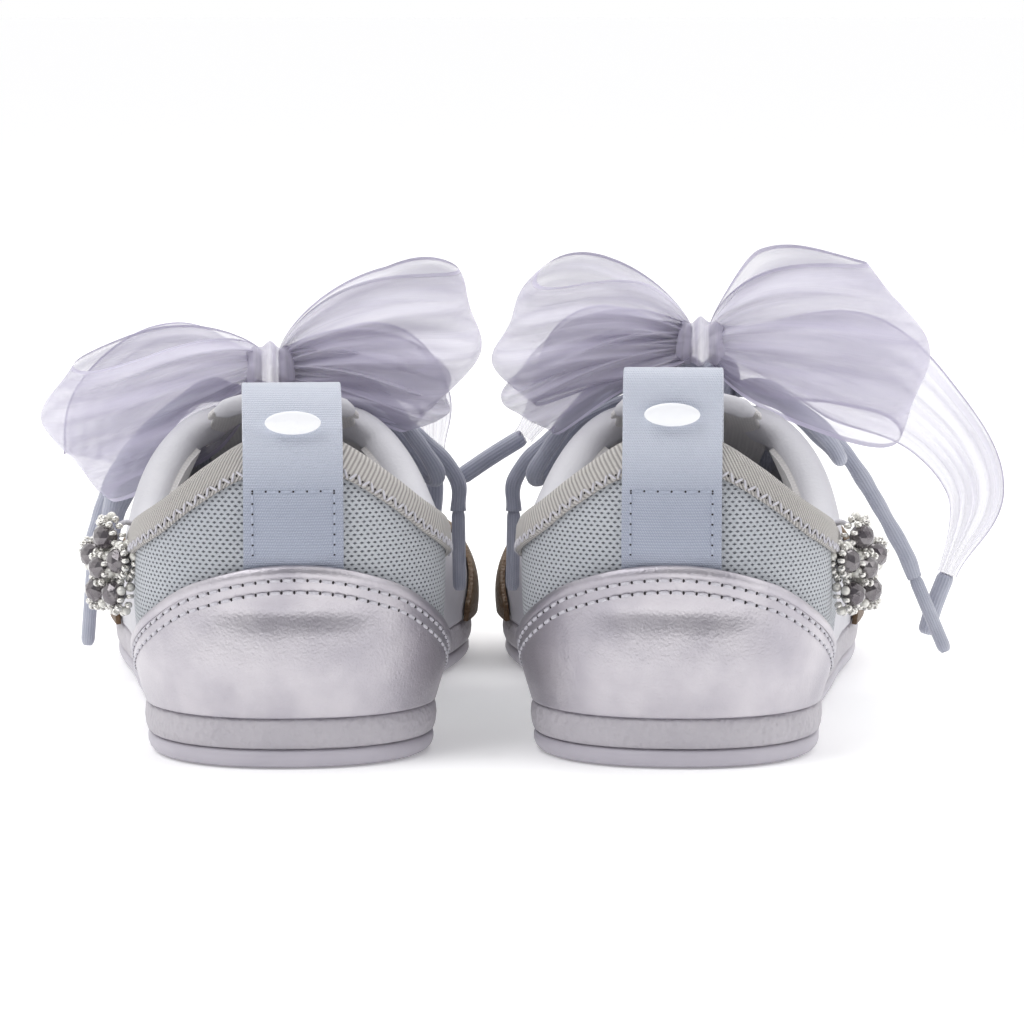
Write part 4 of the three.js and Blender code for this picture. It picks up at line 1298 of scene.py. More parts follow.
@dataclass
class Rear:
    """Mesh quarter, metallic heel counter, padded collar and its tape."""

    shop: Workshop
    counter_top: float = 46
    counter_off: float = 1.6
    tape: tuple[tuple[float, float], ...] = (
        (-7.2, 0.2), (-7.3, 0.9), (-6.9, 1.35), (-4.5, 1.6), (-1.5, 1.6), (0.2, 1.0), (1.4, -0.6),
        (2.0, -2.4), (1.9, -4.2), (1.0, -6.0), (-0.8, -7.2), (-3.5, -7.8), (-6.5, -8.0), (-6.6, -7.2),
        (-2.0, -6.6), (0.3, -4.6), (0.6, -2.0), (-0.5, 0.2),
    )
    roll: tuple[tuple[float, float], ...] = tuple(
        (-2.4 + 3.9 * math.sin(t), -2.2 + 4.0 * math.cos(t))
        for t in np.linspace(0, 2 * np.pi, 16, endpoint=False)
    )

    def counter_edge(self, w: Array) -> Array:
        """The height of the counter's top edge round the shoe."""
        top = self.counter_top
        length = LAST.sole_length
        course = Course((
            (0, top), (0.38, top - 4.5), (0.64, top - 11.5), (1, top - 22),
            (LAST.side_at(0.31 * length), LAST.feather + 5),
        ))
        return course(np.abs(w))

    def build(self) -> None:
        """Makes and dresses the rear of the upper."""
        shop, finish = self.shop, self.shop.finishes
        length = LAST.sole_length
        rear = np.linspace(-LAST.collar_w, LAST.collar_w, 120)
        quarter = shop.surface("quarter_mesh", rear, lambda w: (0 * w, LAST.top_edge(w)), 0, 26)
        shop.finish(walled(quarter, LAST.mesh, 0.2), finish.mesh, "spacer_mesh", ["quarter"])
        end = LAST.side_at(0.31 * length)
        stations = np.linspace(-end, end, 130)

        def relief(w: Array, share: Array) -> Array:
            """The counter's distance off the last: a dent over a bulge, tucked in at its foot.

            Args:
                w: Places round the shoe.
                share: Shares of the height from its foot to its edge.

            Returns:
                The distances.
            """
            edge = self.counter_edge(w)
            z = LAST.feather + (edge - LAST.feather) * share
            dent = -1.1 * np.exp(-(((z - 33.5) / 3.6) ** 2)) * np.exp(-((w / 0.26) ** 4))
            bulge = 1.0 * np.exp(-(((z - 43) / 5) ** 2)) * np.exp(-((w / 0.33) ** 4))
            low = 0.5 * np.exp(-(((z - 20) / 9) ** 2)) * np.exp(-(((np.abs(w) - 0.45) / 0.3) ** 2))
            tuck = -1.35 * np.clip(1 - (z - LAST.feather) / 11, 0, 1) ** 2
            return self.counter_off + dent + bulge + low + tuck

        counter = shop.surface(
            "counter_leather", stations, lambda w: (0 * w, LAST.climb(w, self.counter_edge(w))), relief, 34
        )
        shop.finish(walled(counter, 1.2), finish.foil, "silver_leather", ["heel_counter"])

        def shaped(w: Array, drop: float, lift: float) -> tuple[Array, Array]:
            """Points so far under the counter's edge and off its leather, and the normals there.

            Args:
                w: Places round the shoe.
                drop: How far under the edge.
                lift: How far off the leather.

            Returns:
                The points and the normals.
            """
            z = self.counter_edge(w) - drop
            share = (z - LAST.feather) / (self.counter_edge(w) - LAST.feather)
            off = relief(w, share) + lift
            a = LAST.climb(w, z)
            return LAST.off(w, a, off), LAST.normal(w, a)

        fold = stations[3:-3]
        edges = [shaped(fold, d, o)[0] for d, o in (
            (2.3, -0.2), (2.25, 0.22), (1.9, 0.42), (1.2, 0.5), (0.4, 0.4), (-0.15, 0.05), (-0.3, -0.6),
            (0.3, -1.0),
        )]
        hem = swept(shop.name("counter_hem"), shop.world(np.stack(edges, axis=1)))
        shop.finish(hem, finish.foil, "silver_leather")
        for number, drop in enumerate((3.0, 5.7)):
            seam = fold[self.counter_edge(fold) - drop > LAST.feather + 1.0]
            points, normals = shaped(seam, drop, 0.0)
            shop.stitches(f"counter_seam_{number}", points, normals, 2.85, 2.25, finish.thread, 0.85)

        lining_end = LAST.side_at(0.365 * length)
        ring = np.linspace(-lining_end, lining_end, 90)
        heights = np.linspace(0, 1, 16)
        low = LAST.feather + 0.3
        top = LAST.collar_height(ring) - 1.0
        z = low + (top - low)[:, None] * heights
        w = np.broadcast_to(ring[:, None], z.shape)
        pad = -7.2 - 1.0 * np.sin(np.pi * heights) ** 0.7
        inner = LAST.off(w, LAST.climb(w, z), np.broadcast_to(pad, z.shape))
        outer = LAST.off(w, LAST.climb(w, z), -3.4)
        rings = np.concatenate([outer, inner[:, ::-1]], axis=1)
        lining = swept(shop.name("lining_pad"), shop.world(rings))
        shop.finish(lining, finish.lining, "lining_fabric", ["collar_lining"], angle=70)

        dip = LAST.side_at(0.2 * length)
        tape = shop.band("collar_tape", np.linspace(-dip, dip, 110), LAST.collar_height, self.tape)
        shop.finish(tape, finish.tape, "binding_tape", ["collar_binding"])
        seam = np.linspace(-dip, dip, 160)
        points, normals = on_last(seam, LAST.collar_height(seam) - 6.2, 1.5)
        shop.stitches("tape_seam_0", points, normals, 1.7, 2.3, finish.thread, 0.6, slant=0.95)
        for label, sign in (("outer", 1), ("inner", -1)):
            front = np.linspace(LAST.side_at(0.185 * length), LAST.collar_w, 40) * sign
            roll = shop.band(f"collar_roll_{label}", front, LAST.collar_height, self.roll)
            shop.finish(roll, finish.leather, "pale_leather")


@dataclass
class Front:
    """Vamp, lace stays with their eyelets, and the gum toe guard."""

    shop: Workshop
    stay_width: float = 15
    guard_height: float = 20
    eyelet: float = 2.6
    overlap: float = 0.012

    def stay_edges(self, w: Array) -> tuple[Array, Array]:
        """The angles of a lace stay's outer edge and of its edge at the throat."""
        return LAST.climb_to_half(w, LAST.throat_half + self.stay_width), LAST.top_edge(w) - 0.01

    def guard_edges(self, w: Array) -> tuple[Array, Array]:
        """The angles of the toe guard's foot and of its top, which comes down at both ends."""
        end = 1 - 0.85 * np.clip((np.abs(w - 3) - 0.9) / 0.28, 0, 1) ** 2.5
        return 0 * w, LAST.climb(w, LAST.feather + self.guard_height * end)

    def build(self) -> None:
        """Makes and dresses the front of the upper."""
        shop, finish = self.shop, self.shop.finishes
        half = np.concatenate([
            np.linspace(LAST.collar_w - self.overlap, LAST.throat_w, 40),
            np.linspace(LAST.throat_w, 2, 5)[1:],
            np.linspace(2, 3, 28)[1:],
        ])
        stations = np.concatenate([half, 6 - half[::-1][1:]])
        vamp = shop.surface("vamp_shell", stations, lambda w: (0 * w, LAST.top_edge(w)), 0.12, 30)
        shop.finish(walled(vamp, 1.7, 0.25), finish.leather, "pale_leather", ["vamp"], angle=60)
        for label, sign in (("outer", 1), ("inner", -1)):
            w = np.linspace(LAST.collar_w + self.overlap, LAST.throat_w - self.overlap, 40)
            w = w if sign > 0 else -w[::-1]
            stay = shop.surface(f"lace_stay_{label}", w, self.stay_edges, 1.9, 14)
            shop.finish(walled(stay, 1.2), finish.leather, "pale_leather", [f"eyestay_{label}"])
            for number, inset in enumerate((2.2, 12.8)):
                a = LAST.climb_to_half(w, LAST.throat_half + inset)
                points, normals = LAST.off(w, a, 1.9), LAST.normal(w, a)
                shop.stitches(f"stay_seam_{label}_{number}", points, normals, 2.6, 2.0, finish.thread, 0.7)
            rings = []
            for y in LAST.lace_rows():
                s = np.array([sign * LAST.side_at(y)])
                a = LAST.climb_to_half(s, LAST.throat_half + 5)
                rings.append((LAST.off(s, a, 2.0)[0], LAST.normal(s, a)[0]))
            bpy.ops.mesh.primitive_torus_add(
                major_segments=16, minor_segments=8, major_radius=self.eyelet, minor_radius=0.55
            )
            frames = []
            for centre, n in rings:
                t = np.cross(n, (0, 0, 1.0))
                t /= np.linalg.norm(t)
                frames.append(placed(shop.world(centre), *(shop.vector(v) for v in (t, np.cross(n, t), n))))
            eyelets = scattered(shop.name(f"eyelets_{label}"), bpy.context.object, np.array(frames))
            shop.finish(eyelets, finish.leather, "pale_leather", angle=180)
        rim = stations[np.abs(stations - 3) < 1.18]
        guard = shop.surface("toe_guard_gum", rim, self.guard_edges, 1.9, 12)
        shop.finish(walled(guard, 1.3, 0.5), finish.gum, "gum_rubber", ["toe_guard"])


@dataclass
class Tongue:
    """A padded tongue, bound at its rim."""

    shop: Workshop
    thick: float = 3.6
    drop: float = 3.6

    def build(self) -> None:
        """Makes and dresses the tongue."""
        shop, finish = self.shop, self.shop.finishes
        length, throat = LAST.sole_length, LAST.throat_y
        tip, lining = 0.335 * length, 0.365 * length
        half = Course(((tip, 19), (lining, 17), (LAST.collar_y, 19), (throat, 16)))
        middle = 0.5 * (LAST.instep_height + LAST.vamp_height) - 1
        ridge = Course((
            (tip, LAST.instep_height + 4), (LAST.collar_y, LAST.instep_height), (0.56 * length, middle),
            (throat, float(LAST.ridge_height(throat))),
        ))
        curl = Course(((tip, 0.45), (lining, 0.55), (LAST.collar_y, 1.05)))
        ys = np.linspace(tip, throat + 2, 60)
        turn = np.linspace(0, 2 * np.pi, 44, endpoint=False)
        t = np.sign(np.cos(turn)) * np.abs(np.cos(turn)) ** 0.55
        depth = 0.5 - 0.5 * np.sign(np.sin(turn)) * np.abs(np.sin(turn)) ** 0.55
        y, t = ys[:, None], t[None, :]
        squared = 1 - 0.10 * np.clip(1 - (y - tip) / 5, 0, 1) ** 2.5
        across = t * half(y) * squared
        share = np.clip(np.abs(across) / LAST.half_width(y), 0, 1)
        n = LAST.fullness(y)
        fall = (ridge(y) - LAST.feather) * (1 - (1 - share**n) ** (1 / n)) * curl(y)
        ends = np.clip(np.minimum(y - tip, throat + 2 - y) / 2.2, 0, 1) ** 0.5
        puff = self.thick * (0.35 + 0.65 * ends)
        z = ridge(y) - fall - self.drop - 0.5 * self.thick + (0.5 - depth[None, :]) * puff
        rings = np.stack([LAST.ridge_centre(y) + across, np.broadcast_to(y, z.shape), z], axis=-1)
        tongue = swept(shop.name("tongue_pad"), shop.world(rings))
        shop.finish(tongue, finish.lining, "lining_fabric", ["tongue"], "tongue", angle=80)
        path = np.array([[x, tip + 0.6, 0.0] for x in np.linspace(-16.6, 16.6, 40)])
        s = np.clip(np.abs(path[:, 0]) / LAST.half_width(path[:, 1]), 0, 1)
        k = LAST.fullness(path[:, 1])
        drop = (ridge(path[:, 1]) - LAST.feather) * (1 - (1 - s**k) ** (1 / k)) * curl(path[:, 1])
        path[:, 2] = ridge(path[:, 1]) - drop - self.drop - 0.5 * self.thick
        taper = np.sqrt(np.clip((17 - np.abs(path[:, 0])) / 3, 0.02, 1))
        rim = swept(shop.name("tongue_rim"), shop.world(tube_rings(path, 3.4 * taper, 4.6 * taper, 12)))
        shop.finish(rim, finish.leather, "pale_leather", body="tongue", angle=180)


@dataclass
class PullTab:
    """A webbing strap sewn up the heel that goes over in a free loop, with a plain raised badge."""

    shop: Workshop
    width: float = 22
    thick: float = 1.1
    lean: float = 0.0
    rise: float = 13.0
    off: float = 2.35
    heel_radius: float = 34.0
    badge: tuple[float, float, float] = (6.2, 2.6, 0.75)

    def centreline(self) -> Array:
        """The strap's line in the heel's plane: up the heel, over, and down inside the collar."""
        z = np.linspace(42.5, 74.4, 30)
        w = np.zeros_like(z)
        off = self.off - 1.7 * np.clip((49.5 - z) / 3.5, 0, 1)
        up = LAST.off(w, LAST.climb(w, z), off)
        base = up[-1]
        depth = 12.4 - self.thick
        t = np.linspace(0.0, 1.0, 40)[1:]
        angle = np.pi * t
        arch_y = base[1] + depth / 2 - depth / 2 * np.cos(angle) * (1 - 0.1 * np.sin(angle))
        arch_z = base[2] + 0.6 + self.rise * np.sin(angle) ** 0.5
        arch_y += self.lean * (arch_z - base[2]) / self.rise
        arch = np.stack([0 * t, arch_y, arch_z], axis=-1)
        down_z = np.linspace(base[2] - 1, 66, 8)
        down = np.stack([0 * down_z, base[1] + depth + 0 * down_z, down_z], axis=-1)
        line = np.vstack([up, arch, down])
        run = distances(line)
        even = np.linspace(0, run[-1], 120)
        smooth = np.stack([np.interp(even, run, line[:, i]) for i in range(3)], axis=-1)
        for _ in range(6):
            smooth[1:-1] = 0.5 * smooth[1:-1] + 0.25 * (smooth[:-2] + smooth[2:])
        return smooth

    def build(self) -> None:
        """Makes and dresses the tab."""
        shop, finish = self.shop, self.shop.finishes
        line = self.centreline()
        across = np.linspace(-1, 1, 25) * self.width / 2
        wrap = np.clip((76 - line[:, 2]) / 6, 0, 1) * (np.arange(len(line)) < 70)
        bend = across[None, :] ** 2 / (2 * self.heel_radius) * wrap[:, None]
        points = line[:, None] + np.stack([across, 0 * across, 0 * across], axis=-1)[None]
        points[..., 1] += bend
        run = distances(line)
        uv = np.stack(np.meshgrid(run, across, indexing="ij")[::-1], axis=-1)
        strip = woven(shop.name("tab_webbing"), shop.world(points), uv, flip=shop.side is Side.RIGHT)
        refine(
            strip,
            ("SOLIDIFY", {"thickness": self.thick * MM, "offset": 0}),
            softened(0.35),
        )
        shop.finish(strip, finish.webbing, "webbing", ["tab_strap", "tab_loop"], None)
        start, end = (shop.world(np.array([0, line[40, 1], z])) for z in (74.0, 79.0))
        shop.name("shoe")
        shop.name("tab")
        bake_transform(strip)

        def at(x: Array, z: Array) -> tuple[Array, Array]:
            """Points on the strap's outer face, and the normals there.

            Args:
                x: Distances across it.
                z: Heights.

            Returns:
                The points and the normals.
            """
            z, x = np.broadcast_arrays(np.asarray(z, float), np.asarray(x, float))
            y = np.interp(z, line[:45, 2], line[:45, 1]) + x**2 / (2 * self.heel_radius) - self.thick / 2
            n = np.stack([x / self.heel_radius, -np.ones_like(x), 0 * x + 0.12], axis=-1)
            return np.stack([x, y, z], axis=-1), normalised(n)

        rows = [("tab_seam_top", *at(np.linspace(-9, 9, 30), 62.5), 3.0, 2.5)]
        for label, x in (("a", -9), ("b", 9)):
            rows.append((f"tab_seam_{label}", *at(x, np.linspace(48.5, 62, 30)), 2.2, 1.8))
        for name, points, normals, pitch, size in rows:
            shop.stitches(name, points, normals, pitch, size, finish.blue_thread, 0.6)
        bpy.ops.mesh.primitive_uv_sphere_add(segments=32, ring_count=16, radius=1)
        pill = bpy.context.object
        centre, n = at(np.array([0.0]), 73.5 + 0.45 * self.rise)
        wide, tall, deep = self.badge
        axes = (shop.vector(v) for v in ((wide, 0, 0), (0, 0, tall), (0, deep, 0)))
        frame = placed(shop.world(centre[0] + n[0] * 0.15), *axes)
        badge = scattered(shop.name("tab_badge"), pill, frame[None])
        shop.finish(badge, finish.badge, "webbing", body=None, angle=180)
        shop.name("shoe")
        shop.name("tab")
        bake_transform(badge)


@dataclass
class Drape:
    """How the laces and ribbons of one shoe fall, in its own millimetres."""

    knot: float
    satin_knot: tuple[float, float]
    outer_bow: "Bow"
    inner_bow: "Bow"
    outer_ribbon: tuple[list, list]
    inner_ribbon: tuple[list, list]
    satin: dict[str, tuple[list, list]]
    tips: dict[str, list] = field(default_factory=dict)
    under: list["Bow"] = field(default_factory=list)


@dataclass
class Bow:
    """One loop of the organza bow.

    `tip` is the centre of its round end (x, z), `half` half the ribbon's width there, `depth` how far
    the two layers stand apart, and `tilt` how the ribbon's width leans, in radians. `arch` lifts its
    middle, `sag` drops its back edge, `twist` turns its layers apart and `split` moves them apart in
    height. `pleat` is the depth of five even folds, and `seed` shifts all its creases.
    """

    tip: tuple[float, float]
    half: float = 19.0
    depth: float = 8.5
    tilt: float = 0.0
    arch: float = 0.0
    seed: float = 0.0
    sag: float = 0.0
    twist: float = 0.22
    split: float = 4.5
    pleat: float = 0.0
    start: float = 2
    gathered: float = 3.4

    def surface(self, knot: tuple[float, float, float], rows: int = 110, columns: int = 61) -> Array:
        """The loop's surface, from the knot round its end and back to the knot.

        Args:
            knot: The knot's middle.
            rows: Points along the ribbon.
            columns: Points across it.

        Returns:
            The points, shaped (rows, columns, 3), in the shoe's frame.
        """
        s = np.linspace(0, 1, rows)[:, None]
        v = np.linspace(-1, 1, columns)[None, :]
        side = math.copysign(1, self.tip[0] - knot[0])
        reach = abs(self.tip[0] - knot[0]) - self.start
        out = (1 - np.cos(2 * np.pi * s)) / 2
        spread = np.clip(out * 1.25, 0, 1) ** 0.62
        half = self.gathered + (self.half - self.gathered) * np.sin(spread * np.pi / 2) ** 1.1
        half = half * (1 + 0.05 * np.sin(5 * np.pi * s + self.seed) * out)
        trim = 1 - 0.20 * np.abs(v) ** 2.4 + 0.035 * np.sin(5 * v + self.seed) * out
        x = self.start + reach * out * trim
        centre = knot[2] + (self.tip[1] - knot[2]) * out**0.9 + self.arch * np.sin(np.pi * out)
        front = np.sin(2 * np.pi * s)
        lean = (self.tilt - self.twist * front) * np.clip(out * 2, 0, 1)
        centre = centre - self.split * front * out
        up = v * half
        wave = np.sin(np.pi * 6.5 * v + self.seed) * 1.5 * (1 - out) ** 1.3
        wave = wave + 1.5 * np.sin(np.pi * 3.4 * v + 2.1 * self.seed + 2.0 * front) * (1 - 0.55 * out)
        crease = np.abs(np.sin(np.pi * 2.3 * v + self.seed + 1.1 * s)) ** 0.6 * 2.2 * np.clip(1.2 - out, 0, 1)
        wave = wave + crease + self.pleat * np.sin(5 * np.pi * v + self.seed)
        crush = 1.8 * np.sin(3.4 * v + 8 * s + self.seed) * out + 0.8 * np.sin(8 * v - 13 * s + 2 * self.seed)
        apart = front * self.depth * out**0.45 * (1 - 0.35 * v**2)
        y = knot[1] - 4 * out - apart + wave + crush * np.abs(front) ** 0.5
        z = centre + up * np.cos(lean) - self.sag * out * (1 - v) * 0.25 * (1 - front)
        x = x + side * -up * np.sin(lean)
        return np.stack([knot[0] + side * x, y, z], axis=-1)


INNER_SATIN = [[-15, 115, 76.5], [-23, 115, 74.5], [-33, 116, 62], [-38, 117, 54], [-36, 122, 53]]
INNER_SATIN_BACK = [[-27, 122.5, 65], [-9, 121, 74]]
INNER_SATIN_TAIL = [[-18, 127, 74], [-36, 129, 60], [-43.6, 129, 51], [-44, 129, 43]]


def both_drapes() -> dict[Side, Drape]:
    """The laces and ribbons of each shoe."""
    back = LAST.bow_y + 6.3
    left = Drape(
        81, (73.3, 3.6),
        Bow((56, 67), 16, 9, -0.34, 0.5, 0.7, 5), Bow((-47, 88), 17.5, 10, 0.22, 3.0, 2.2, 3),
        ([[7, back, 81], [24, 132, 80], [41, 137, 68], [44, 138, 55]], [[0, 8], [0.5, 24], [1, 21]]),
        ([[-1, back, 81], [-22, 128, 80], [-36, 135, 70], [-38, 136, 56]], [[0, 8], [0.5, 22], [1, 6]]),
        {
            "outer": (
                [[11.5, 115, 74], [20, 115, 75], [38, 116, 58], [44, 117, 36], [43, 122, 31], [40, 123, 46],
                 [25, 122, 70], [13, 121, 74]],
                [[11, 120, 74], [22, 127, 72], [38, 129, 58], [46, 129, 40], [47, 129, 30]],
            ),
            "inner": (
                [[-5.5, 115, 74], *INNER_SATIN, *INNER_SATIN_BACK],
                [[-5, 120, 74], *INNER_SATIN_TAIL],
            ),
        },
        {"inner": [[-38, 136, 56], [-38.5, 136, 47], [-37.5, 136, 38]]},
        [Bow((-41, 74), 8, 6, 0.25, 4.0, 4.2, 1, pleat=1.0)],
    )
    right = Drape(
        87, (76.6, 6.8),
        Bow((57, 86), 21, 10, 0.18, 3.0, 1.3, 3), Bow((-46, 88), 14.5, 9, -0.12, 4.0, 3.1, 4),
        ([[7, back, 87], [38, 130, 80], [60, 135, 66], [71, 136, 48], [64, 136, 27]],
         [[0, 8], [0.35, 28], [0.6, 19], [0.8, 14], [1, 5]]),
        ([[-1, back, 87], [-22, 128, 84], [-34, 134, 72], [-42, 135, 61]], [[0, 8], [0.5, 22], [1, 5]]),
        {
            "outer": (
                [[11.5, 115, 75], [20, 115, 75], [33, 116, 64], [37, 118, 58], [34, 122, 61], [24, 122, 70],
                 [13, 121, 75]],
                [[11, 120, 75], [22, 127, 72], [37.7, 129, 59], [52, 129, 36], [56, 129, 27]],
            ),
            "inner": (
                [[-5.5, 115, 75], *INNER_SATIN, *INNER_SATIN_BACK],
                [[-5, 120, 75], *INNER_SATIN_TAIL],
            ),
        },
        {
            "inner": [[-42, 135, 61], [-50, 135, 56], [-58, 135, 50.5]],
            "outer": [[64, 136, 27], [61, 136, 19], [59, 136, 12]],
        },
        [Bow((-44, 74), 8.5, 6, 0.3, 5.0, 1.9, 1, pleat=1.0)],
    )
    return {Side.LEFT: left, Side.RIGHT: right}


@dataclass
class Laces:
    """Satin lacing, its loops and tipped tails, and the organza ribbon tied in a bow."""

    shop: Workshop
    drape: Drape
    satin: float = 4.4
    aglet: float = 3.4
    aglet_length: float = 20
    ribbon: float = 38
    eyelet_inset: float = 5

    def tube(
        self, path: Array, wide: Array | float, deep: Array | float, name: str, count: int = 18
    ) -> bpy.types.Object:
        """A tube along a path, mapped in millimetres along and round it.

        Args:
            path: Points along its middle.
            wide: Its width.
            deep: Its depth.
            name: Its short name.
            count: Points round it.

        Returns:
            The tube.
        """
        rings = tube_rings(path, wide, deep, count)
        run = distances(path)
        round_it = np.linspace(0, np.pi * self.satin, count + 1)
        uv = cloth_map(run, round_it)
        return swept(self.shop.name(name), self.shop.world(rings), uv)

    def free(
        self, label: str, points: list, kind: str, far: str, with_pieces: Sequence[bpy.types.Object] = ()
    ) -> None:
        """One loop or tail of the satin lace, gathered a little along its length.

        Args:
            label: Which side it falls on.
            points: The points that it goes through.
            kind: The start of its name.
            far: What its far end is; not used.
            with_pieces: The separate pieces on it; not used.
        """
        shop = self.shop
        path = catmull(points, 90)
        run = distances(path)
        wide = self.satin * (1.0 + 0.05 * np.sin(run / 3.1) + 0.04 * np.sin(run / 1.3))
        piece = self.tube(path, wide, wide * 0.9, f"{kind}_{label}_cord")
        shop.finish(piece, shop.finishes.satin, "satin_lace", [f"{kind}_{label}"], angle=180)
        shop.world(path[0])
        shop.world(path)
        LOG.info("%s is %.1f mm long", piece.name, run[-1])

    def tip(self, name: str, line: list, wide: float, node: str | None) -> bpy.types.Object:
        """A tube tip rolled tight round the lace's end.

        Args:
            name: Its short name.
            line: Points along its middle.
            wide: Its width.
            node: The CAD node that it stands for, if any.

        Returns:
            The tip.
        """
        path = catmull(line, 24)
        s = np.linspace(0, 1, 24)
        rolled = 0.35 * np.clip((s - 0.92) / 0.08, 0, 1) ** 2 + 0.2 * np.clip((0.06 - s) / 0.06, 0, 1)
        piece = self.tube(path, wide * (1 - rolled), wide * (1 - rolled), name, 16)
        shop, nodes = self.shop, [node] if node else []
        return shop.finish(piece, shop.finishes.satin, "satin_lace", nodes, angle=60)

    def bow(self, label: str, bow: Bow, nodes: Sequence[str] = ()) -> None:
        """One loop of the bow.

        Args:
            label: The end of its name.
            bow: Its shape.
            nodes: Short names of the CAD nodes that it stands for.
        """
        shop = self.shop
        points = bow.surface((3, LAST.bow_y, self.drape.knot))
        run = distances(points[:, 30])
        uv = cloth_map(run, np.linspace(-0.5, 0.5, points.shape[1]) * self.ribbon)
        loop = woven(shop.name(f"bow_{label}"), shop.world(points), uv, merge=False)
        shop.finish(loop, shop.finishes.organza, "organza", nodes, angle=180)
        shop.name("lacing_satin")

    def tail(self, label: str, points: list, widths: list) -> None:
        """One tail of the organza ribbon, folded in flutes just deep enough to hold its whole width.

        Args:
            label: Which side it falls on.
            points: The points that its middle goes through.
            widths: How wide the folded tail is, as (share of its length, width) pairs.
        """
        shop = self.shop
        path = catmull(points, 90)
        tangent, _, _ = directions(path)
        across = normalised(np.cross(tangent, (0, 1.0, 0)))
        s = np.linspace(0, 1, 90)
        width = Course(tuple(map(tuple, widths)))(s)
        v = np.linspace(-1, 1, 61)
        flute = np.sin(5 * np.pi * v[None, :] + 0.9 * np.sin(2.3 * v[None, :] + 5 * s[:, None]) + 0.8)
        low, high = np.zeros(len(s)), np.full(len(s), 6.0)
        for _ in range(20):
            deep = (low + high) / 2
            step = np.hypot(np.diff(v)[None, :] * width[:, None] / 2, np.diff(flute, axis=1) * deep[:, None])
            long = step.sum(axis=1) > self.ribbon
            low, high = np.where(long, low, deep), np.where(long, deep, high)
        soft = 1.2 * np.sin(2.2 * v[None, :] + 7 * s[:, None]) * np.clip(width / 22, 0.15, 1)[:, None]
        surface = path[:, None] + across[:, None] * (v[None, :] * width[:, None] / 2)[..., None]
        surface[..., 1] += flute * deep[:, None] + soft
        run = distances(path)
        uv = cloth_map(run, v * self.ribbon / 2)
        piece = woven(shop.name(f"ribbon_tail_{label}"), shop.world(surface), uv, merge=False)
        shop.finish(piece, shop.finishes.organza, "organza", [f"organza_tail_{label}"], angle=180)
        shop.name("lacing_satin")

    def build(self) -> None:
        """Makes and dresses the laces and the bow."""
        shop, finish, drape = self.shop, self.shop.finishes, self.drape
        half, over = LAST.throat_half + self.eyelet_inset, 2.0
        line = []
        for row, y in enumerate(LAST.lace_rows()):
            sign = -1 if row % 2 else 1
            place = np.array([LAST.side_at(y)])
            height = float(LAST.off(place, LAST.climb_to_half(place, half), over)[0, 2])
            middle = max(height + 2.6, float(LAST.ridge_height(y)) + 0.2)
            centre = float(LAST.ridge_centre(y))
            bar = ((1.02, -4.0), (0.93, 1.3), (0, middle - height), (-0.93, 1.3), (-1.02, -4.0))
            line += [[centre + sign * t * half, y, height + lift] for t, lift in bar]
        path = catmull(line, 300)
        lacing = self.tube(path, 3.0, 4.4, "lacing_satin")
        shop.finish(lacing, finish.satin, "satin_lace", ["lacing"], angle=180)
        shop.world(np.array(line[0]))
        shop.world(path)
        z, rise = drape.satin_knot
        y = LAST.bow_y + 8
        turn = np.linspace(0, 2 * np.pi, 60)
        wraps = [
            [3 + 6.0 * math.cos(t), y + 3.2 * math.sin(t), z + 0.5 * rise * math.sin(2 * t)]
            for t in turn[:-1]
        ]
        knot = self.tube(catmull(wraps, 80), 4.6, rise * 1.1, "satin_knot")
        shop.finish(knot, finish.satin, "satin_lace", angle=180)
        for label, (loop, tail) in drape.satin.items():
            self.free(label, loop, "satin_loop", "object")
            path = catmull(tail, 90)
            ahead = normalised(path[-1:] - path[-2:-1])[0]
            ends = [(path[-1] + ahead * d).tolist() for d in (0.0, self.aglet_length / 2, self.aglet_length)]
            tip = self.tip(f"lace_tip_{label}", ends, self.aglet, f"aglet_{label}")
            self.free(label, tail, "satin_tail", "fitting", [tip])
        self.bow("outer", drape.outer_bow, ["organza_loop_outer"])
        self.bow("inner", drape.inner_bow, ["organza_loop_inner"])
        for number, bow in enumerate(drape.under):
            self.bow(f"under_{number}", bow)
        self.tail("outer", *drape.outer_ribbon)
        self.tail("inner", *drape.inner_ribbon)
        for label, line in drape.tips.items():
            self.tip(f"ribbon_tip_{label}", line, 4.4, None)
        self.knot()

    def knot(self) -> None:
        """The bow's knot: one turn of the ribbon, pulled tight over the others in pleats."""
        shop = self.shop
        s = np.linspace(0, 2 * np.pi, 72)
        v = np.linspace(-1, 1, 41)
        radius = 5.2 + 0.5 * np.cos(9 * v)[None, :] + 0.35 * np.sin(5 * s[:, None] + 6 * v[None, :])
        radius = radius * (1 - 0.28 * v[None, :] ** 2)
        x = 3 + v[None, :] * 5.6 * (1 + 0.06 * np.sin(2 * s[:, None]))
        y = LAST.bow_y + radius * np.cos(s)[:, None]
        z = self.drape.knot + radius * np.sin(s)[:, None] * 1.05
        points = np.stack([x, y, z], axis=-1)
        uv = cloth_map(s * 5, v * 17)
        wrap = woven(shop.name("bow_knot"), shop.world(points), uv)
        tidy_edges(wrap, SAME_POINT, True)
        shop.finish(wrap, shop.finishes.organza, "organza", ["organza_knot"], angle=180)


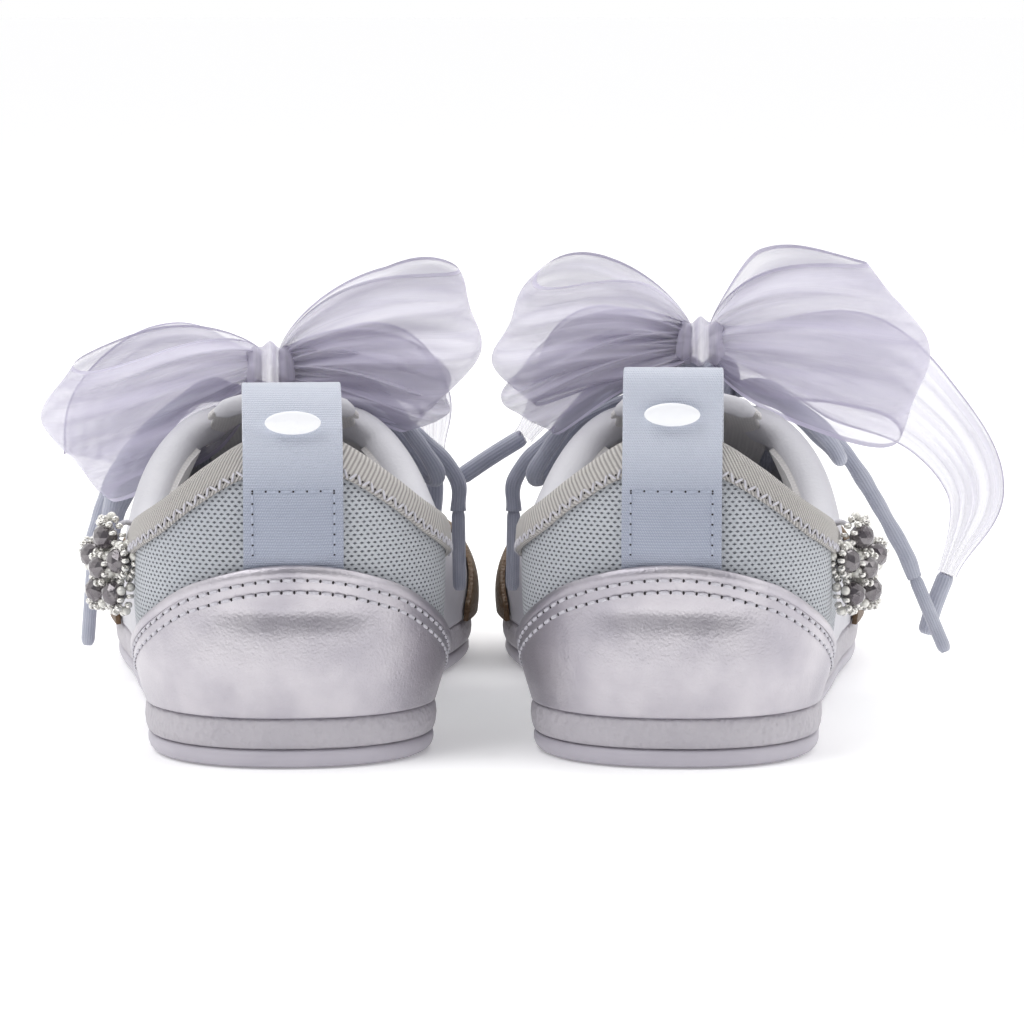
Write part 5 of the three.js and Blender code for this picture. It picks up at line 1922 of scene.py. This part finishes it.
@dataclass
class Flower:
    """A beaded flower: petals of seed beads looped round crystals and pearls, hung on a thread shank."""

    shop: Workshop
    stand: float = 3.4
    height: float = 41
    place: float = 1.05
    turn: float = 0.45
    petals: int = 5
    bead: float = 1.9

    def axes(self) -> tuple[Array, Array, Array, Array]:
        """The flower's middle, its outward direction, and the two directions across it."""
        w = np.array([self.place])
        a = LAST.climb(w, self.height)
        normal = LAST.normal(w, a)[0] * (1, 1, 0)
        normal /= np.linalg.norm(normal)
        cos, sin = math.cos(self.turn), math.sin(self.turn)
        normal = np.array((cos * normal[0] + sin * normal[1], cos * normal[1] - sin * normal[0], 0.0))
        seat = LAST.off(w, a, 0)[0] + normal * self.stand
        side = np.cross((0, 0, 1.0), normal)
        return seat, normal, side, np.array((0, 0, 1.0))

    def frames(self, spots: Sequence[tuple[float, float, float, float, float, float]]) -> Array:
        """Matrices for beads on the flower.

        Args:
            spots: Each bead as (side, up, out, turn, size, stretch).

        Returns:
            A 3 by 4 matrix for each bead.
        """
        seat, normal, side, up = self.axes()
        result = []
        for x, z, out, turn, size, stretch in spots:
            along = side * math.cos(turn) + up * math.sin(turn)
            cross = np.cross(normal, along)
            centre = seat + side * x + up * z + normal * out
            axes = [self.shop.vector(v * size / 2) for v in (cross, normal, along * stretch)]
            result.append(placed(self.shop.world(centre), *axes))
        return np.array(result)

    def build(self) -> None:
        """Makes and dresses the flower and its shank."""
        shop, finish = self.shop, self.shop.finishes
        seeds, pearls, smoky = [], [], []
        for k in range(self.petals):
            turn = math.pi / 2 + 2 * math.pi * k / self.petals
            cx, cz = 7.0 * math.cos(turn), 7.0 * math.sin(turn)
            for layer, (grow, out) in enumerate(((1.0, 1.3), (0.94, 3.5))):
                count = 13 - layer
                for i in range(count):
                    t = 2 * math.pi * (i + 0.5 * layer) / count
                    a, b = 4.6 * grow * math.cos(t), 3.6 * grow * math.sin(t)
                    x = cx + a * math.cos(turn) - b * math.sin(turn)
                    z = cz + a * math.sin(turn) + b * math.cos(turn)
                    heading = turn + math.atan2(3.6 * math.cos(t), -4.6 * math.sin(t))
                    lift = out + 1.0 * math.cos(t)
                    if (i + layer) % 5 == 0:
                        pearls.append((x, z, lift, heading, 2.2, 1.0))
                    else:
                        seeds.append((x, z, lift, heading, self.bead, 1.5))
            smoky.append((cx, cz, 4.0, turn, 6.0, 1.0))
            pearls.append((3.0 * math.cos(turn + 0.6), 3.0 * math.sin(turn + 0.6), 4.2, turn, 2.9, 1.0))
        smoky.append((0, 0, 5.4, 0.3, 5.6, 1.0))
        for i in range(9):
            t = 2 * math.pi * i / 9
            seeds.append((3.6 * math.cos(t), 3.6 * math.sin(t), 5.9, t + math.pi / 2, self.bead, 1.5))
        deselect()
        bpy.ops.mesh.primitive_torus_add(
            major_segments=10, minor_segments=6, major_radius=0.62, minor_radius=0.38
        )
        beads = scattered(shop.name("flower_beads"), bpy.context.object, self.frames(seeds))
        shop.finish(beads, finish.clear_glass, "crystal_beads", ["charm_flower"], "flower", angle=180)
        bpy.ops.mesh.primitive_uv_sphere_add(segments=12, ring_count=8, radius=1)
        round_beads = scattered(shop.name("flower_pearls"), bpy.context.object, self.frames(pearls))
        shop.finish(round_beads, finish.pearl, "crystal_beads", body="flower", angle=180)
        bpy.ops.mesh.primitive_ico_sphere_add(subdivisions=2, radius=1)
        crystals = scattered(shop.name("flower_crystals"), bpy.context.object, self.frames(smoky))
        shop.finish(crystals, finish.smoky_crystal, "crystal_beads", body="flower", angle=None)
        crystals.data.polygons.foreach_set("use_smooth", [False] * len(crystals.data.polygons))
        seat, normal, _, up = self.axes()
        wires = [
            seat + normal * 0.6 + up * (6 * math.cos(t)) + np.cross(up, normal) * (6 * math.sin(t))
            for t in np.linspace(0, 2 * np.pi, 24)
        ]
        wire = swept(shop.name("flower_wire"), shop.world(tube_rings(np.array(wires), 0.7, 0.7, 8, normal)))
        shop.finish(wire, finish.thread, "thread", body="flower", angle=180)
        w = np.array([self.place])
        root = LAST.off(w, LAST.climb(w, self.height + 9.5), 0.6)[0]
        top = seat + up * 9.6 + normal * 1.0
        line = [root, root + normal * 1.8 + up * 0.5, 0.5 * (root + top) + normal * 1.2, top]
        path = catmull([p.tolist() for p in line], 16)
        shank = swept(shop.name("flower_thread"), shop.world(tube_rings(path, 1.3, 1.3, 10, (0, 0, 1))))
        shop.finish(shank, finish.thread, "thread", ["charm_shank"], None, angle=180)
        start, end = shop.world(root + normal * 0.5), shop.world(top)
        shop.name("shoe")
        shop.name("flower")
        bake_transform(shank)


# ---- Camera, floor and light ----------------------------------------------------------------------
@dataclass
class Studio:
    """A pale floor and soft boxes, and the camera low behind the heels."""

    aside: float = 6.5
    aim: float = 6.5
    distance: float = 1.126
    height: float = 0.1716
    focal: float = 160.3

    def camera(self) -> None:
        """Places the camera."""
        lens = bpy.data.cameras.new("camera")
        lens.lens, lens.sensor_width = self.focal, 36.0
        lens.clip_start, lens.clip_end = 0.05, 50
        camera = bpy.data.objects.new("camera", lens)
        camera.location = (self.aside * MM, -self.distance, self.height)
        camera.rotation_euler = (math.radians(90 - self.aim), 0, 0)
        bpy.context.scene.collection.objects.link(camera)
        bpy.context.scene.camera = camera

    def lamp(
        self, name: str, place: Sequence[float], aim: Sequence[float], size: tuple[float, float], power: float
    ) -> None:
        """Hangs a soft box.

        Args:
            name: Its name.
            place: Where it hangs, in metres.
            aim: The point that it faces.
            size: Its width and height.
            power: Its power, in watts.
        """
        light = bpy.data.lights.new(name, "AREA")
        light.shape, light.size, light.size_y, light.energy = "RECTANGLE", size[0], size[1], power
        lamp = bpy.data.objects.new(name, light)
        lamp.location = place
        lamp.rotation_euler = (Vector(aim) - Vector(place)).to_track_quat("-Z", "Y").to_euler()
        bpy.context.scene.collection.objects.link(lamp)

    def build(self) -> None:
        """Sets the camera, floor, world and lights."""
        self.camera()
        scene = bpy.context.scene
        scene.view_settings.view_transform = "Standard"
        world = bpy.data.worlds.new("studio")
        world.use_nodes = True
        tree = world.node_tree
        split = add(tree, "SeparateXYZ", {0: add(tree, "TexCoord").outputs["Generated"]})
        room = {"Value": split.outputs["Y"], "From Min": -0.15, "From Max": -0.85}
        dim = add(tree, "MapRange", room, interpolation_type="SMOOTHSTEP").outputs["Result"]
        shade = add(tree, "Mix", {0: dim, 6: linear("#ffffff"), 7: linear("#62626c")}, data_type="RGBA")
        tree.links.new(shade.outputs[2], tree.nodes["Background"].inputs["Color"])
        tree.nodes["Background"].inputs["Strength"].default_value = 1.0
        scene.world = world
        deselect()
        bpy.ops.mesh.primitive_plane_add(size=60, location=(0, 0, -0.0002))
        floor = bpy.context.object
        floor.name = "floor"
        paint = Paint("floor_paper", Roughness=0.9)
        paint.colour("#ffffff")
        paint.feed("Emission Color", linear("#ffffff"))
        paint.feed("Emission Strength", 0.16)
        floor.data.materials.append(paint.material)
        self.lamp("key", (-0.9, -1.0, 1.5), (0, 0, 0.05), (1.1, 1.1), 12)
        self.lamp("fill", (1.3, -0.5, 0.9), (0, 0, 0.05), (0.9, 1.2), 4)
        self.lamp("top", (0.1, 0.7, 1.6), (0, 0, 0.0), (1.6, 1.0), 9)


def main() -> None:
    """Builds the pair."""
    logging.basicConfig(level=logging.INFO, format="%(name)s %(message)s")
    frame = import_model()
    Studio().build()
    finishes = Finishes()
    drapes = both_drapes()
    for side in Side:
        shop = Workshop(side, finishes, frame)
        drape = drapes[side]
        assemblies = (
            Laces(shop, drape),
            Sole(shop),
            Rear(shop),
            Front(shop),
            Tongue(shop),
            PullTab(shop, lean=7.0, rise=9.0) if side is Side.LEFT else PullTab(shop),
            Flower(shop),
        )
        for assembly in assemblies:
            LOG.info("building the %s's %s", side.prefix, type(assembly).__name__)
            assembly.build()
        for hidden in ("insole_board", "counter_stiffener"):
            node = frame["nodes"][shop.name(hidden)]
            node.data.materials.clear()
            node.data.materials.append(finishes.board)


if __name__ == "__main__":
    main()
